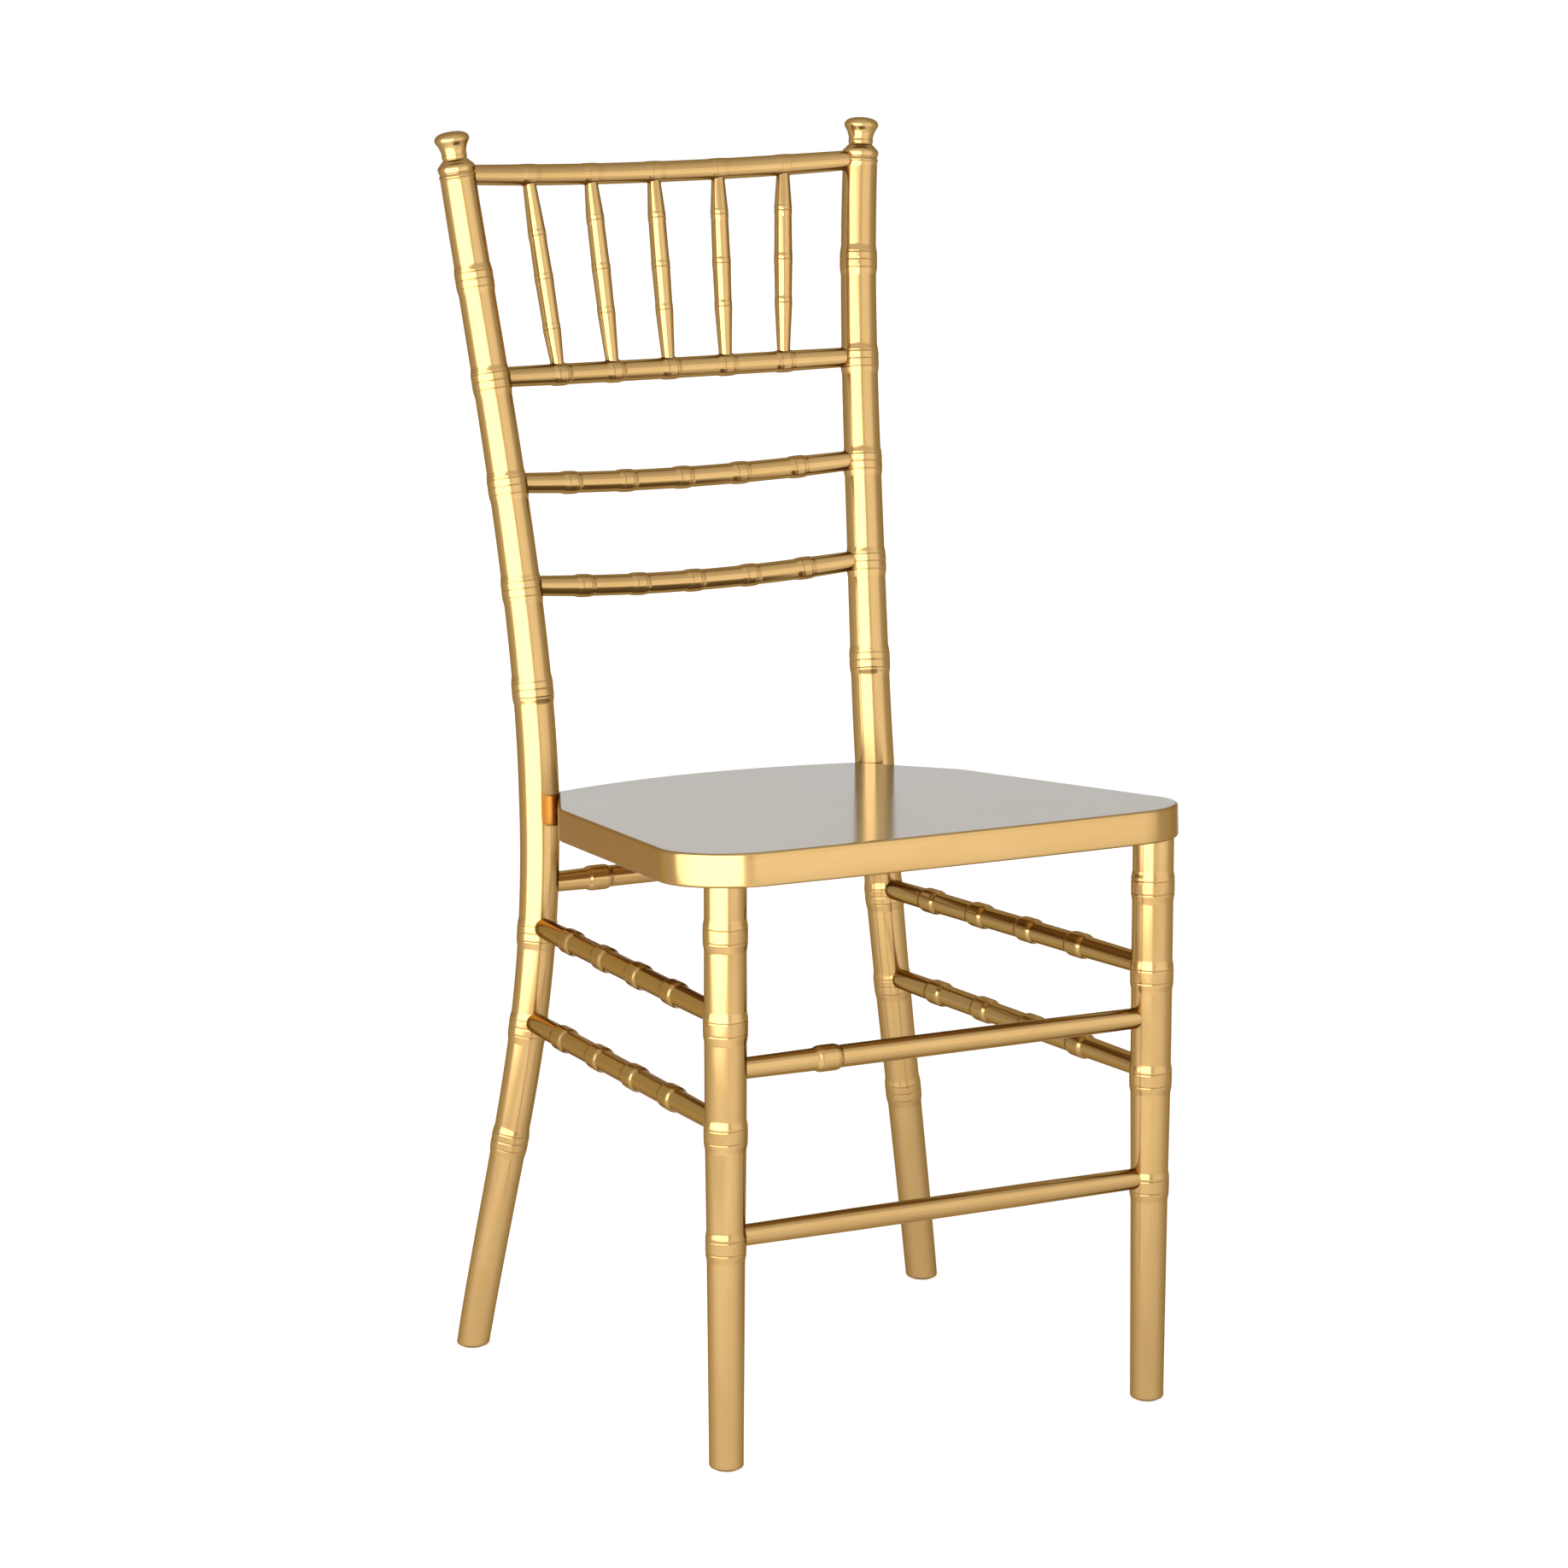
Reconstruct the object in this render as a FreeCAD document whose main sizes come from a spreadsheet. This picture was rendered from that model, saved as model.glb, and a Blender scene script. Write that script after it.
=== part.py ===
import FreeCAD, Part
import math
import os
import Sketcher
from FreeCAD import Placement, Rotation, Vector

# A rigid dining chair of bamboo-turned wood. It stands on the floor at z = 0, its front
# faces -Y, and +X is on the right of someone who looks at it from the front.

DOC = FreeCAD.newDocument("bamboo_turned_chair")

# Driving dimensions, in millimetres and degrees. A leg share is a share of the seat's height in
# front, and a back share is a share of the way up from there to the crest rail. Other shares are
# shares of a piece's own length.
SIZES = {
    # Rear posts: stations that the bent axis passes through. Their place goes with the seat's
    # back corners, and setbacks are measured from it.
    "post_back_inset": 4.0,
    "post_foot_half_span": 197.8,
    "post_foot_setback": 15.8,
    "post_ankle_leg_share": 0.2921,
    "post_ankle_half_span": 176.8,
    "post_ankle_setback": 4.2,
    "post_knee_leg_share": 0.5843,
    "post_knee_half_span": 156.8,
    "post_knee_setback": -4.7,
    "post_seat_leg_share": 0.9528,
    "post_seat_half_span": 144.8,
    "post_seat_setback": 1.4,
    "post_waist_back_share": 0.3547,
    "post_waist_half_span": 149.3,
    "post_waist_setback": 24.9,
    "post_shoulder_back_share": 0.7208,
    "post_shoulder_half_span": 160.4,
    "post_shoulder_setback": 54.9,
    "post_top_height": 914.0,
    "post_top_half_span": 175.6,
    "post_top_setback": 77.9,
    # Rear posts: turned radii at those stations.
    "post_foot_radius": 12.4,
    "post_ankle_radius": 13.0,
    "post_knee_radius": 13.9,
    "post_seat_radius": 15.2,
    "post_waist_radius": 14.4,
    "post_shoulder_radius": 13.8,
    "post_collar_radius": 13.3,
    "post_section_pitch": 62.0,
    # Bamboo nodes of posts and legs: a raised band between two swells.
    "node_rise": 0.9,
    "node_band": 10.0,
    "node_swell": 7.0,
    "rail_node_drop": 2.3,
    "stretcher_node_drop": 5.5,
    "ankle_node_leg_share": 0.3596,
    "lumbar_node_back_share": 0.1304,
    "shoulder_node_back_share": 0.8238,
    # Finial turned on the top of each post: drops are measured down from its crown.
    "finial_crown_radius": 4.5,
    "finial_cap_radius": 13.1,
    "finial_cap_drop": 5.6,
    "finial_neck_radius": 9.4,
    "finial_neck_drop": 15.5,
    "finial_neck_length": 4.0,
    "finial_collar_drop": 26.0,
    "finial_collar_rise": 0.8,
    "finial_collar_length": 5.0,
    # Front legs, set in from the seat's front edge and from its widest.
    "leg_side_inset": 40.5,
    "leg_front_inset": 25.9,
    "leg_foot_radius": 12.3,
    "leg_ankle_radius": 13.6,
    "leg_shin_radius": 14.7,
    "leg_top_radius": 15.0,
    "leg_top_node_leg_share": 0.8652,
    "leg_tenon_radius": 9.0,
    "leg_tenon_length": 12.0,
    "foot_rounding": 2.5,
    # Back rails: their place up the posts, backward bow and droop at mid span.
    "crest_rail_drop": 32.0,
    "crest_rail_bow": 15.5,
    "crest_rail_droop": 4.8,
    "spindle_rail_back_share": 0.6574,
    "spindle_rail_bow": 15.4,
    "spindle_rail_droop": 2.3,
    "upper_ladder_back_share": 0.4801,
    "upper_ladder_bow": 10.2,
    "upper_ladder_droop": 6.2,
    "lower_ladder_back_share": 0.3066,
    "lower_ladder_bow": 5.8,
    "lower_ladder_droop": 7.2,
    "rail_end_radius": 7.6,
    "rail_middle_radius": 8.0,
    "rail_node_rise": 0.8,
    "rail_node_band": 7.0,
    "rail_node_swell": 5.0,
    "crest_node_rise": 0.35,
    "crest_node_band": 7.0,
    "crest_node_swell": 5.0,
    "ladder_node_share": 0.16,
    "rail_tenon_radius": 5.0,
    "rail_tenon_length": 10.0,
    "rail_housing_depth": 1.4,
    # Spindles: shares of the rails' length from one to the next.
    "crest_spindle_share": 0.158,
    "spindle_rail_spindle_share": 0.152,
    "spindle_end_radius": 4.9,
    "spindle_shoulder_radius": 6.6,
    "spindle_belly_radius": 7.0,
    "spindle_node_rise": 0.4,
    "spindle_node_band": 4.0,
    "spindle_node_swell": 3.0,
    "spindle_low_node_share": 0.30,
    "spindle_middle_node_share": 0.52,
    "spindle_high_node_share": 0.77,
    "spindle_tenon_radius": 3.5,
    "spindle_tenon_length": 4.4,
    "spindle_housing_depth": 0.4,
    # Stretchers.
    "side_upper_leg_share": 0.7303,
    "side_lower_front_leg_share": 0.5573,
    "side_lower_rear_leg_share": 0.5690,
    "front_upper_leg_share": 0.6472,
    "front_lower_leg_share": 0.3775,
    "rear_stretcher_leg_share": 0.8011,
    "stretcher_end_radius": 7.6,
    "stretcher_middle_radius": 8.1,
    "stretcher_taper_share": 0.3,
    "stretcher_node_rise": 1.5,
    "stretcher_node_band": 12.0,
    "stretcher_node_swell": 5.0,
    "side_node_first_share": 0.255,
    "side_node_pitch_share": 0.183,
    "front_node_share": 0.229,
    "rear_node_share": 0.165,
    "stretcher_tenon_radius": 5.0,
    "stretcher_tenon_length": 10.0,
    "stretcher_housing_depth": 0.9,
    # Seat: flat, tipped back, wider in front; lengths run back along its slope.
    "seat_front_y": -237.6,
    "seat_front_height": 445.0,
    "seat_pitch_degrees": 3.2,
    "seat_front_half_width": 216.0,
    "seat_front_crown": 5.0,
    "seat_side_half_width": 172.0,
    "seat_rear_taper_length": 88.0,
    "seat_back_half_width": 127.5,
    "seat_back_length": 380.0,
    "seat_back_crown": 25.0,
    "seat_front_corner": 54.0,
    "seat_rear_corner": 40.0,
    "seat_top_thickness": 8.0,
    "seat_frame_thickness": 16.0,
    "seat_edge_rounding": 2.0,
    "frame_front_width": 53.0,
    "frame_front_side_width": 58.0,
    "frame_rear_side_width": 62.0,
    "frame_rear_width": 42.0,
    # Glue blocks in the corners of the ring, and their screws.
    "block_leg": 42.0,
    "block_tip": 8.0,
    "block_thickness": 14.0,
    "screw_inset": 15.0,
    "screw_radius": 2.0,
    "screw_length": 18.0,
    "screw_head_radius": 4.0,
    "screw_head_height": 2.2,
    # Bolts that hold the posts to the ring.
    "bolt_radius": 3.0,
    "bolt_reach": 40.0,
    "bolt_head_radius": 5.5,
    "bolt_head_height": 4.0,
    "bolt_recess": 6.0,
    "bolt_turn_degrees": 60.0,
    # Glides under the feet, and clearances.
    "glide_radius": 8.0,
    "glide_thickness": 1.2,
    "glide_pin_radius": 1.5,
    "glide_pin_length": 11.0,
    "peg_clearance": 0.15,
    "peg_end_clearance": 0.3,
    "post_seat_clearance": 0.25,
}

SHEET = DOC.addObject("Spreadsheet::Sheet", "Sizes")
for row, (alias, value) in enumerate(SIZES.items(), start=1):
    SHEET.set("A%d" % row, alias)
    SHEET.set("B%d" % row, str(value))
    SHEET.setAlias("B%d" % row, alias)

# Lengths that follow from the bent axes are kept in a second sheet, so that bodies bind to them.
FITTED = DOC.addObject("Spreadsheet::Sheet", "Fitted")
DOC.recompute()

UP = Vector(0, 0, 1)
SIDES = {"left": -1, "right": 1}
SPINDLES = range(1, 6)
KNUCKLES = range(4)
CAP_ANGLES = (90, 60, 30, 0)
FITTED_NAMES = []
SOCKETS = {}
SUB_PARTS = []


def size(alias):
    """The value of a named size."""
    return float(SHEET.get(alias))


def number(item, words):
    """The present value of words that use the sheets, asked through any object."""
    value = item.evalExpression(words)
    return float(getattr(value, "Value", value))


def fitted(name, value):
    """Keep a worked out length in the second sheet; gives back the words that bind to it."""
    FITTED_NAMES.append(name)
    row = len(FITTED_NAMES)
    FITTED.set("A%d" % row, name)
    FITTED.set("B%d" % row, str(value))
    FITTED.setAlias("B%d" % row, name)
    FITTED.recompute()
    return "Fitted." + name


def keep(piece, label):
    """Name a finished piece; its label is the name of its file."""
    piece.Label = label
    SUB_PARTS.append(piece)
    return piece


def feature(name, shape):
    """A plain feature that holds a shape worked out from the sheet."""
    plain = DOC.addObject("Part::Feature", name)
    plain.Shape = shape
    return plain


def between(stations, place):
    """Straight interpolation in a list of (place, value) pairs."""
    for (start, first), (end, last) in zip(stations, stations[1:]):
        if place <= end:
            break
    return first + (last - first) * (place - start) / (end - start)


# Axes and radii of the pieces that carry the others.

def level(place):
    """The height of a place on the legs or on the back."""
    seat = size("seat_front_height")
    if place + "_leg_share" in SIZES:
        return seat * size(place + "_leg_share")
    crest = size("post_top_height") - size("crest_rail_drop")
    if place == "crest_rail":
        return crest
    return seat + (crest - seat) * size(place + "_back_share")


def rear_post_y():
    """Where the posts stand: level with the seat's back corners, less their inset."""
    slope = math.cos(math.radians(size("seat_pitch_degrees")))
    return size("seat_front_y") + size("seat_back_length") * slope - size("post_back_inset")


def post_stations():
    """The (place, height) pairs of a rear post, from its foot to its top."""
    places = ("ankle", "knee", "seat", "waist", "shoulder")
    return ([("foot", 0)] + [(place, level("post_" + place)) for place in places]
            + [("top", size("post_top_height"))])


def post_curve(side):
    """The bent axis of a rear post: a smooth curve whose parameter is the height."""
    points = [Vector(side * size("post_%s_half_span" % place),
                     rear_post_y() + size("post_%s_setback" % place), height)
              for place, height in post_stations()]
    curve = Part.BSplineCurve()
    curve.interpolate(Points=points, Parameters=[point.z for point in points])
    return curve


POST_CURVES = {side: post_curve(side) for side in SIDES.values()}


def post_point(side, height):
    """The point of a post's axis at a height."""
    return POST_CURVES[side].value(height)


def post_direction(side, height):
    """The direction of a post's axis at a height; the foot itself is cut level."""
    if height <= size("glide_thickness") + size("foot_rounding"):
        return UP
    return Vector(*POST_CURVES[side].tangent(height)[0])


def post_radius(height):
    """The turned radius of a post at a height, between its nodes."""
    stations = [(station_height, size("post_%s_radius" % place))
                for place, station_height in post_stations()[:-1]]
    collar_height = size("post_top_height") - size("finial_collar_drop")
    stations.append((collar_height, size("post_collar_radius")))
    return between(stations, height)


def leg_point(side, height):
    """The point of a front leg's axis at a height."""
    half_span = size("seat_front_half_width") - size("leg_side_inset")
    return Vector(side * half_span, size("seat_front_y") + size("leg_front_inset"), height)


def leg_radius(height):
    """The turned radius of a front leg at a height, between its nodes."""
    drop = size("stretcher_node_drop")
    return between([(0, size("leg_foot_radius")),
                    (level("front_lower") - drop, size("leg_ankle_radius")),
                    (level("side_lower_front") - drop, size("leg_shin_radius")),
                    (level("side_upper") - drop, size("leg_top_radius")),
                    (size("seat_front_height"), size("leg_top_radius"))], height)


def rail_arc(rail):
    """The axis of a back rail: an arc from post to post, bowed back and drooping a little."""
    start = post_point(-1, level(rail))
    end = post_point(1, level(rail))
    sag = Vector(0, size(rail + "_bow"), -size(rail + "_droop"))
    return Part.Arc(start, (start + end) * 0.5 + sag, end)


def along(curve, share):
    """The point and the direction of a curve at a share of its length."""
    place = curve.FirstParameter + (curve.LastParameter - curve.FirstParameter) * share
    return curve.value(place), Vector(*curve.tangent(place)[0])


# Round joints: a reduced tenon behind a shoulder that seats in a shallow housing.

def join(carrier, point, direction, carrier_radius, kind):
    """Note the stepped socket that a member needs in its carrier.

    The member leaves the carrier's axis at a point, in a direction. Gives back how far its
    shoulder stays from that point.
    """
    end_radius = size(kind + "_end_radius")
    shoulder = math.sqrt(carrier_radius ** 2 - end_radius ** 2) - size(kind + "_housing_depth")
    bottom = shoulder - size(kind + "_tenon_length") - size("peg_end_clearance")
    mouth = 2 * carrier_radius
    hole = Part.makeCylinder(size(kind + "_tenon_radius") + size("peg_clearance"), mouth - bottom,
                             point + direction * bottom, direction)
    housing = Part.makeCylinder(end_radius + size("peg_clearance"), mouth - shoulder,
                                point + direction * shoulder, direction)
    SOCKETS.setdefault(carrier, []).append(hole.fuse(housing))
    return shoulder


# Turned pieces with a bent axis.

def node_sections(centre, radius, kind):
    """A bamboo node as (place, radius) pairs: swell, band, swell."""
    half = size(kind + "_band") / 2
    crest = radius + size(kind + "_rise")
    reach = half + size(kind + "_swell")
    return [(centre - reach, radius), (centre - half, crest), (centre + half, crest),
            (centre + reach, radius)]


def bent_turning(sections, main):
    """Circles square to a bent axis, joined by ruled faces.

    Each section is (point, direction, radius); main is the piece's main direction, from which
    every circle is turned by the least angle, so that the faces don't twist.
    """
    wires = []
    for point, direction, radius in sections:
        circle = Part.makeCircle(radius)
        circle.Placement = Placement(point, Rotation(main, direction) * Rotation(UP, main))
        wires.append(Part.Wire(circle))
    return Part.makeLoft(wires, True, True)


def finial_sections():
    """The finial as (height, radius) pairs, from the collar up to the crown."""
    top = size("post_top_height")
    collar = top - size("finial_collar_drop")
    collar_radius = size("post_collar_radius")
    neck_radius = size("finial_neck_radius")
    neck_top = top - size("finial_neck_drop")
    neck_foot = neck_top - size("finial_neck_length")
    cap_radius = size("finial_cap_radius")
    cap_drop = size("finial_cap_drop")
    crown_radius = size("finial_crown_radius")
    sections = [(collar - size("finial_collar_length"), collar_radius),
                (collar, collar_radius + size("finial_collar_rise")),
                ((collar + neck_foot) / 2, (collar_radius * 2 + neck_radius) / 3),
                (neck_foot, neck_radius),
                (neck_top, neck_radius),
                ((neck_top + top - cap_drop) / 2, (neck_radius + cap_radius) / 2)]
    for angle in CAP_ANGLES:
        swing = math.radians(angle)
        sections.append((top - cap_drop * (1 - math.cos(swing)),
                         crown_radius + (cap_radius - crown_radius) * math.sin(swing)))
    return sections


def post_sections():
    """The whole post as (height, radius) pairs, with plain sections where the axis bends."""
    stretcher_drop = size("stretcher_node_drop")
    rail_drop = size("rail_node_drop")
    nodes = [level("ankle_node"),
             level("side_lower_rear") - stretcher_drop,
             level("side_upper") - stretcher_drop,
             level("lumbar_node"),
             level("lower_ladder") - rail_drop,
             level("upper_ladder") - rail_drop,
             level("spindle_rail") - rail_drop,
             level("shoulder_node")]
    foot = size("glide_thickness")
    rounding = size("foot_rounding")
    foot_radius = size("post_foot_radius")
    turned = [(foot, foot_radius - rounding), (foot + rounding, foot_radius)]
    for height in sorted(nodes):
        turned += node_sections(height, post_radius(height), "node")
    turned += finial_sections()
    sections = [turned[0]]
    for (low, _), (high, high_radius) in zip(turned, turned[1:]):
        steps = math.ceil((high - low) / size("post_section_pitch"))
        for step in range(1, steps):
            height = low + (high - low) * step / steps
            sections.append((height, post_radius(height)))
        sections.append((high, high_radius))
    return sections


def rear_post(name, side):
    """A rear leg and back post in one bent piece, with its sockets, bolt hole and glide hole."""
    sections = [(post_point(side, height), post_direction(side, height), radius)
                for height, radius in post_sections()]
    label = "rear_post_" + name
    return keep(feature(label, bent_turning(sections, UP).cut(SOCKETS[label])), label)


def back_rail(rail, label, shares, kind="rail_node"):
    """A bowed rail with a tenon at each end and a node of a kind at each share of its length."""
    arc = rail_arc(rail)
    length = arc.length()
    end_radius = size("rail_end_radius")
    carrier_radius = post_radius(level(rail))
    start, onward = along(arc, 0)
    end, last_direction = along(arc, 1)
    back = last_direction * -1
    near = join("rear_post_left", start, onward, carrier_radius, "rail")
    far = join("rear_post_right", end, back, carrier_radius, "rail")
    sections = [(start + onward * near, onward, end_radius)]
    for share in shares:
        for place, radius in node_sections(share * length, size("rail_middle_radius"), kind):
            point, direction = along(arc, place / length)
            sections.append((point, direction, radius))
    sections.append((end + back * far, last_direction, end_radius))
    shape = bent_turning(sections, Vector(1, 0, 0))
    reach = size("rail_tenon_length")
    for point, direction, shoulder in ((start, onward, near), (end, back, far)):
        tenon = Part.makeCylinder(size("rail_tenon_radius"), reach + end_radius,
                                  point + direction * (shoulder - reach), direction)
        shape = shape.fuse(tenon)
    if rail in SOCKETS:
        shape = shape.cut(SOCKETS[rail])
    return keep(feature(label, shape), label)


# Straight turned pieces.

def sketch_on(body, name, role):
    """A sketch on one of the body's own origin planes."""
    sketch = body.newObject("Sketcher::SketchObject", name)
    plane = [item for item in body.Origin.OriginFeatures if item.Role == role][0]
    sketch.AttachmentSupport = [(plane, "")]
    sketch.MapMode = "FlatFace"
    return sketch


def pin(sketch, edge, corner):
    """Fix the start of an edge by its two coordinates, each bound to its words."""
    for kind, axis, words in zip(("DistanceX", "DistanceY"), (-2, -1), corner):
        if words == "0":
            sketch.addConstraint(Sketcher.Constraint("PointOnObject", edge, 1, axis))
            continue
        value = number(sketch, words)
        index = sketch.addConstraint(Sketcher.Constraint(kind, -1, 1, edge, 1, value))
        sketch.setExpression("Constraints[%d]" % index, words)


def outline(sketch, corners, crowns=None):
    """A closed outline through corners given in words.

    crowns maps the number of an edge to the words for the height of its arc, outwards. Such an
    edge lies evenly about the sketch's own Y axis.
    """
    crowns = crowns or {}
    points = [Vector(number(sketch, x), number(sketch, y), 0) for x, y in corners]
    count = len(points)
    for index, start in enumerate(points):
        end = points[(index + 1) % count]
        if index in crowns:
            chord = end - start
            outwards = Vector(chord.y, -chord.x, 0).normalize()
            crest = (start + end) * 0.5 + outwards * number(sketch, crowns[index])
            sketch.addGeometry(Part.Arc(start, crest, end), False)
        else:
            sketch.addGeometry(Part.LineSegment(start, end), False)
    for index in range(count):
        sketch.addConstraint(Sketcher.Constraint("Coincident", index, 2, (index + 1) % count, 1))
    for index, corner in enumerate(corners):
        pin(sketch, index, corner)
    for index, crown in crowns.items():
        words = "((%s) ^ 2 + (%s) ^ 2) / (2 * (%s))" % (corners[index][0], crown, crown)
        place = sketch.addConstraint(Sketcher.Constraint("Radius", index, number(sketch, words)))
        sketch.setExpression("Constraints[%d]" % place, words)
    return sketch


def turned_body(name, stations):
    """A straight turning: (place, radius) pairs in words, revolved about the body's own Z."""
    body = DOC.addObject("PartDesign::Body", name)
    sketch = sketch_on(body, name + "_profile", "XZ_Plane")
    corners = [("0", stations[0][0])]
    corners += [(radius, place) for place, radius in stations]
    corners += [("0", stations[-1][0])]
    outline(sketch, corners)
    DOC.recompute()
    turning = body.newObject("PartDesign::Revolution", name + "_turning")
    turning.Profile = sketch
    turning.ReferenceAxis = (sketch, ["V_Axis"])
    turning.Angle = 360
    body.Tip = turning
    DOC.recompute()
    return body


def node_words(centre, radius, kind):
    """A bamboo node in words: swell, band, swell, as (place, radius) pairs."""
    crest = "%s + Sizes.%s_rise" % (radius, kind)
    half = "Sizes.%s_band / 2" % kind
    swell = "Sizes.%s_swell" % kind
    return [("%s - %s - %s" % (centre, half, swell), radius), ("%s - %s" % (centre, half), crest),
            ("%s + %s" % (centre, half), crest), ("%s + %s + %s" % (centre, half, swell), radius)]


def straight_member(label, kind, ends, stations):
    """A straight turning tenoned into a carrier at both ends; its own Z runs along it.

    Each of the two ends is (carrier, point on its axis, its radius). The stations lie between
    the shoulders, and their words may use the length from axis to axis.
    """
    (first, start, start_radius), (last, end, end_radius) = ends
    direction = (end - start).normalize()
    near = fitted(label + "_near_shoulder", join(first, start, direction, start_radius, kind))
    far = fitted(label + "_far_shoulder",
                 (end - start).Length - join(last, end, direction * -1, end_radius, kind))
    radius = "Sizes.%s_end_radius" % kind
    tenon_radius = "Sizes.%s_tenon_radius" % kind
    tenon_length = "Sizes.%s_tenon_length" % kind
    profile = [("%s - %s" % (near, tenon_length), tenon_radius), (near, tenon_radius),
               (near, radius)]
    profile += stations
    profile += [(far, radius), (far, tenon_radius),
                ("%s + %s" % (far, tenon_length), tenon_radius)]
    body = turned_body(label, profile)
    body.Placement = Placement(start, Rotation(UP, direction))
    return keep(body, label)


def axis_length(label, start, end):
    """The length of a straight member from axis to axis, as words."""
    return fitted(label + "_length", (end - start).Length)


def side_stretchers(name, side):
    """The two stretchers from a front leg back to the post behind it, with four knuckles each."""
    for place, front, rear in (("upper", "side_upper", "side_upper"),
                               ("lower", "side_lower_front", "side_lower_rear")):
        label = "%s_stretcher_%s" % (name, place)
        start = leg_point(side, level(front))
        end = post_point(side, level(rear))
        length = axis_length(label, start, end)
        stations = []
        for knuckle in KNUCKLES:
            centre = "%s * (Sizes.side_node_first_share + %d * Sizes.side_node_pitch_share)" % (
                length, knuckle)
            stations += node_words(centre, "Sizes.stretcher_middle_radius", "stretcher_node")
        ends = [("front_leg_" + name, start, leg_radius(start.z)),
                ("rear_post_" + name, end, post_radius(end.z))]
        straight_member(label, "stretcher", ends, stations)


def front_and_rear_stretchers():
    """The two stretchers between the front legs and the one between the posts."""
    middle = "Sizes.stretcher_middle_radius"
    for label, place, share in (("front_stretcher_upper", "front_upper", "front_node_share"),
                                ("front_stretcher_lower", "front_lower", None),
                                ("rear_stretcher", "rear_stretcher", "rear_node_share")):
        is_rear = label == "rear_stretcher"
        point_at = post_point if is_rear else leg_point
        radius_at = post_radius if is_rear else leg_radius
        carrier = "rear_post_" if is_rear else "front_leg_"
        start = point_at(-1, level(place))
        end = point_at(1, level(place))
        length = axis_length(label, start, end)
        if share:
            stations = node_words("%s * Sizes.%s" % (length, share), middle, "stretcher_node")
        else:
            stations = [("%s * Sizes.stretcher_taper_share" % length, middle)]
        stations.append(("%s * (1 - Sizes.stretcher_taper_share)" % length, middle))
        ends = [(carrier + "left", start, radius_at(start.z)),
                (carrier + "right", end, radius_at(end.z))]
        straight_member(label, "stretcher", ends, stations)


def spindle_shares(alias):
    """The shares of a rail's length at which its spindles or nodes stand."""
    middle = (SPINDLES[0] + SPINDLES[-1]) / 2
    return [0.5 + (spindle - middle) * size(alias) for spindle in SPINDLES]


def spindles():
    """The turned spindles between the crest rail and the spindle rail.

    The first one stands upside down, as it does on the real chair.
    """
    tops = spindle_shares("crest_spindle_share")
    feet = spindle_shares("spindle_rail_spindle_share")
    radius = size("rail_middle_radius")
    for spindle, top_share, foot_share in zip(SPINDLES, tops, feet):
        label = "spindle_%d" % spindle
        start = along(rail_arc("spindle_rail"), foot_share)[0]
        end = along(rail_arc("crest_rail"), top_share)[0]
        length = axis_length(label, start, end)
        shares = ["Sizes.spindle_%s_node_share" % place for place in ("low", "middle", "high")]
        if spindle == SPINDLES[0]:
            shares = ["(1 - %s)" % share for share in reversed(shares)]
        radii = ("Sizes.spindle_shoulder_radius", "Sizes.spindle_belly_radius",
                 "Sizes.spindle_shoulder_radius")
        stations = []
        for share, belly in zip(shares, radii):
            stations += node_words("%s * %s" % (length, share), belly, "spindle_node")
        ends = [("spindle_rail", start, radius), ("crest_rail", end, radius)]
        straight_member(label, "spindle", ends, stations)


# The seat.

def seat_placement(depth):
    """The seat's own frame, at a depth under its top: Y runs back down the slope."""
    tilt = Rotation(Vector(1, 0, 0), -size("seat_pitch_degrees"))
    front = Vector(0, size("seat_front_y"), size("seat_front_height"))
    return Placement(front + tilt.multVec(Vector(0, 0, -depth)), tilt)


def seat_level(y, depth):
    """The height of the plane that lies at a depth under the seat's top, at one y."""
    pitch = math.radians(size("seat_pitch_degrees"))
    return (size("seat_front_height") - (y - size("seat_front_y")) * math.tan(pitch)
            - depth / math.cos(pitch))


def seat_depth():
    """The thickness of the seat's top and ring together."""
    return size("seat_top_thickness") + size("seat_frame_thickness")


def edges_near(shape, points):
    """The names of the edges whose middles are nearest to some points."""
    names = []
    for point in points:
        gaps = [((edge.CenterOfMass - point).Length, number_of)
                for number_of, edge in enumerate(shape.Edges, start=1)]
        names.append("Edge%d" % min(gaps)[1])
    return names


def edges_at_level(shape, level):
    """The names of the edges that lie at one level of a flat piece."""
    within = 1e-4
    return ["Edge%d" % number_of for number_of, edge in enumerate(shape.Edges, start=1)
            if abs(edge.BoundBox.ZMin - level) < within and abs(edge.BoundBox.ZMax - level) < within]


def fillet(body, base, name, edges, words):
    """Round some edges of a body's last feature by a radius given in words."""
    rounding = body.newObject("PartDesign::Fillet", name)
    rounding.Base = (base, edges)
    rounding.setExpression("Radius", words)
    body.Tip = rounding
    DOC.recompute()
    return rounding


# How far back the seat's sides run before they turn in towards its back.
SIDE_LENGTH = "(Sizes.seat_back_length - Sizes.seat_rear_taper_length)"


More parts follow.
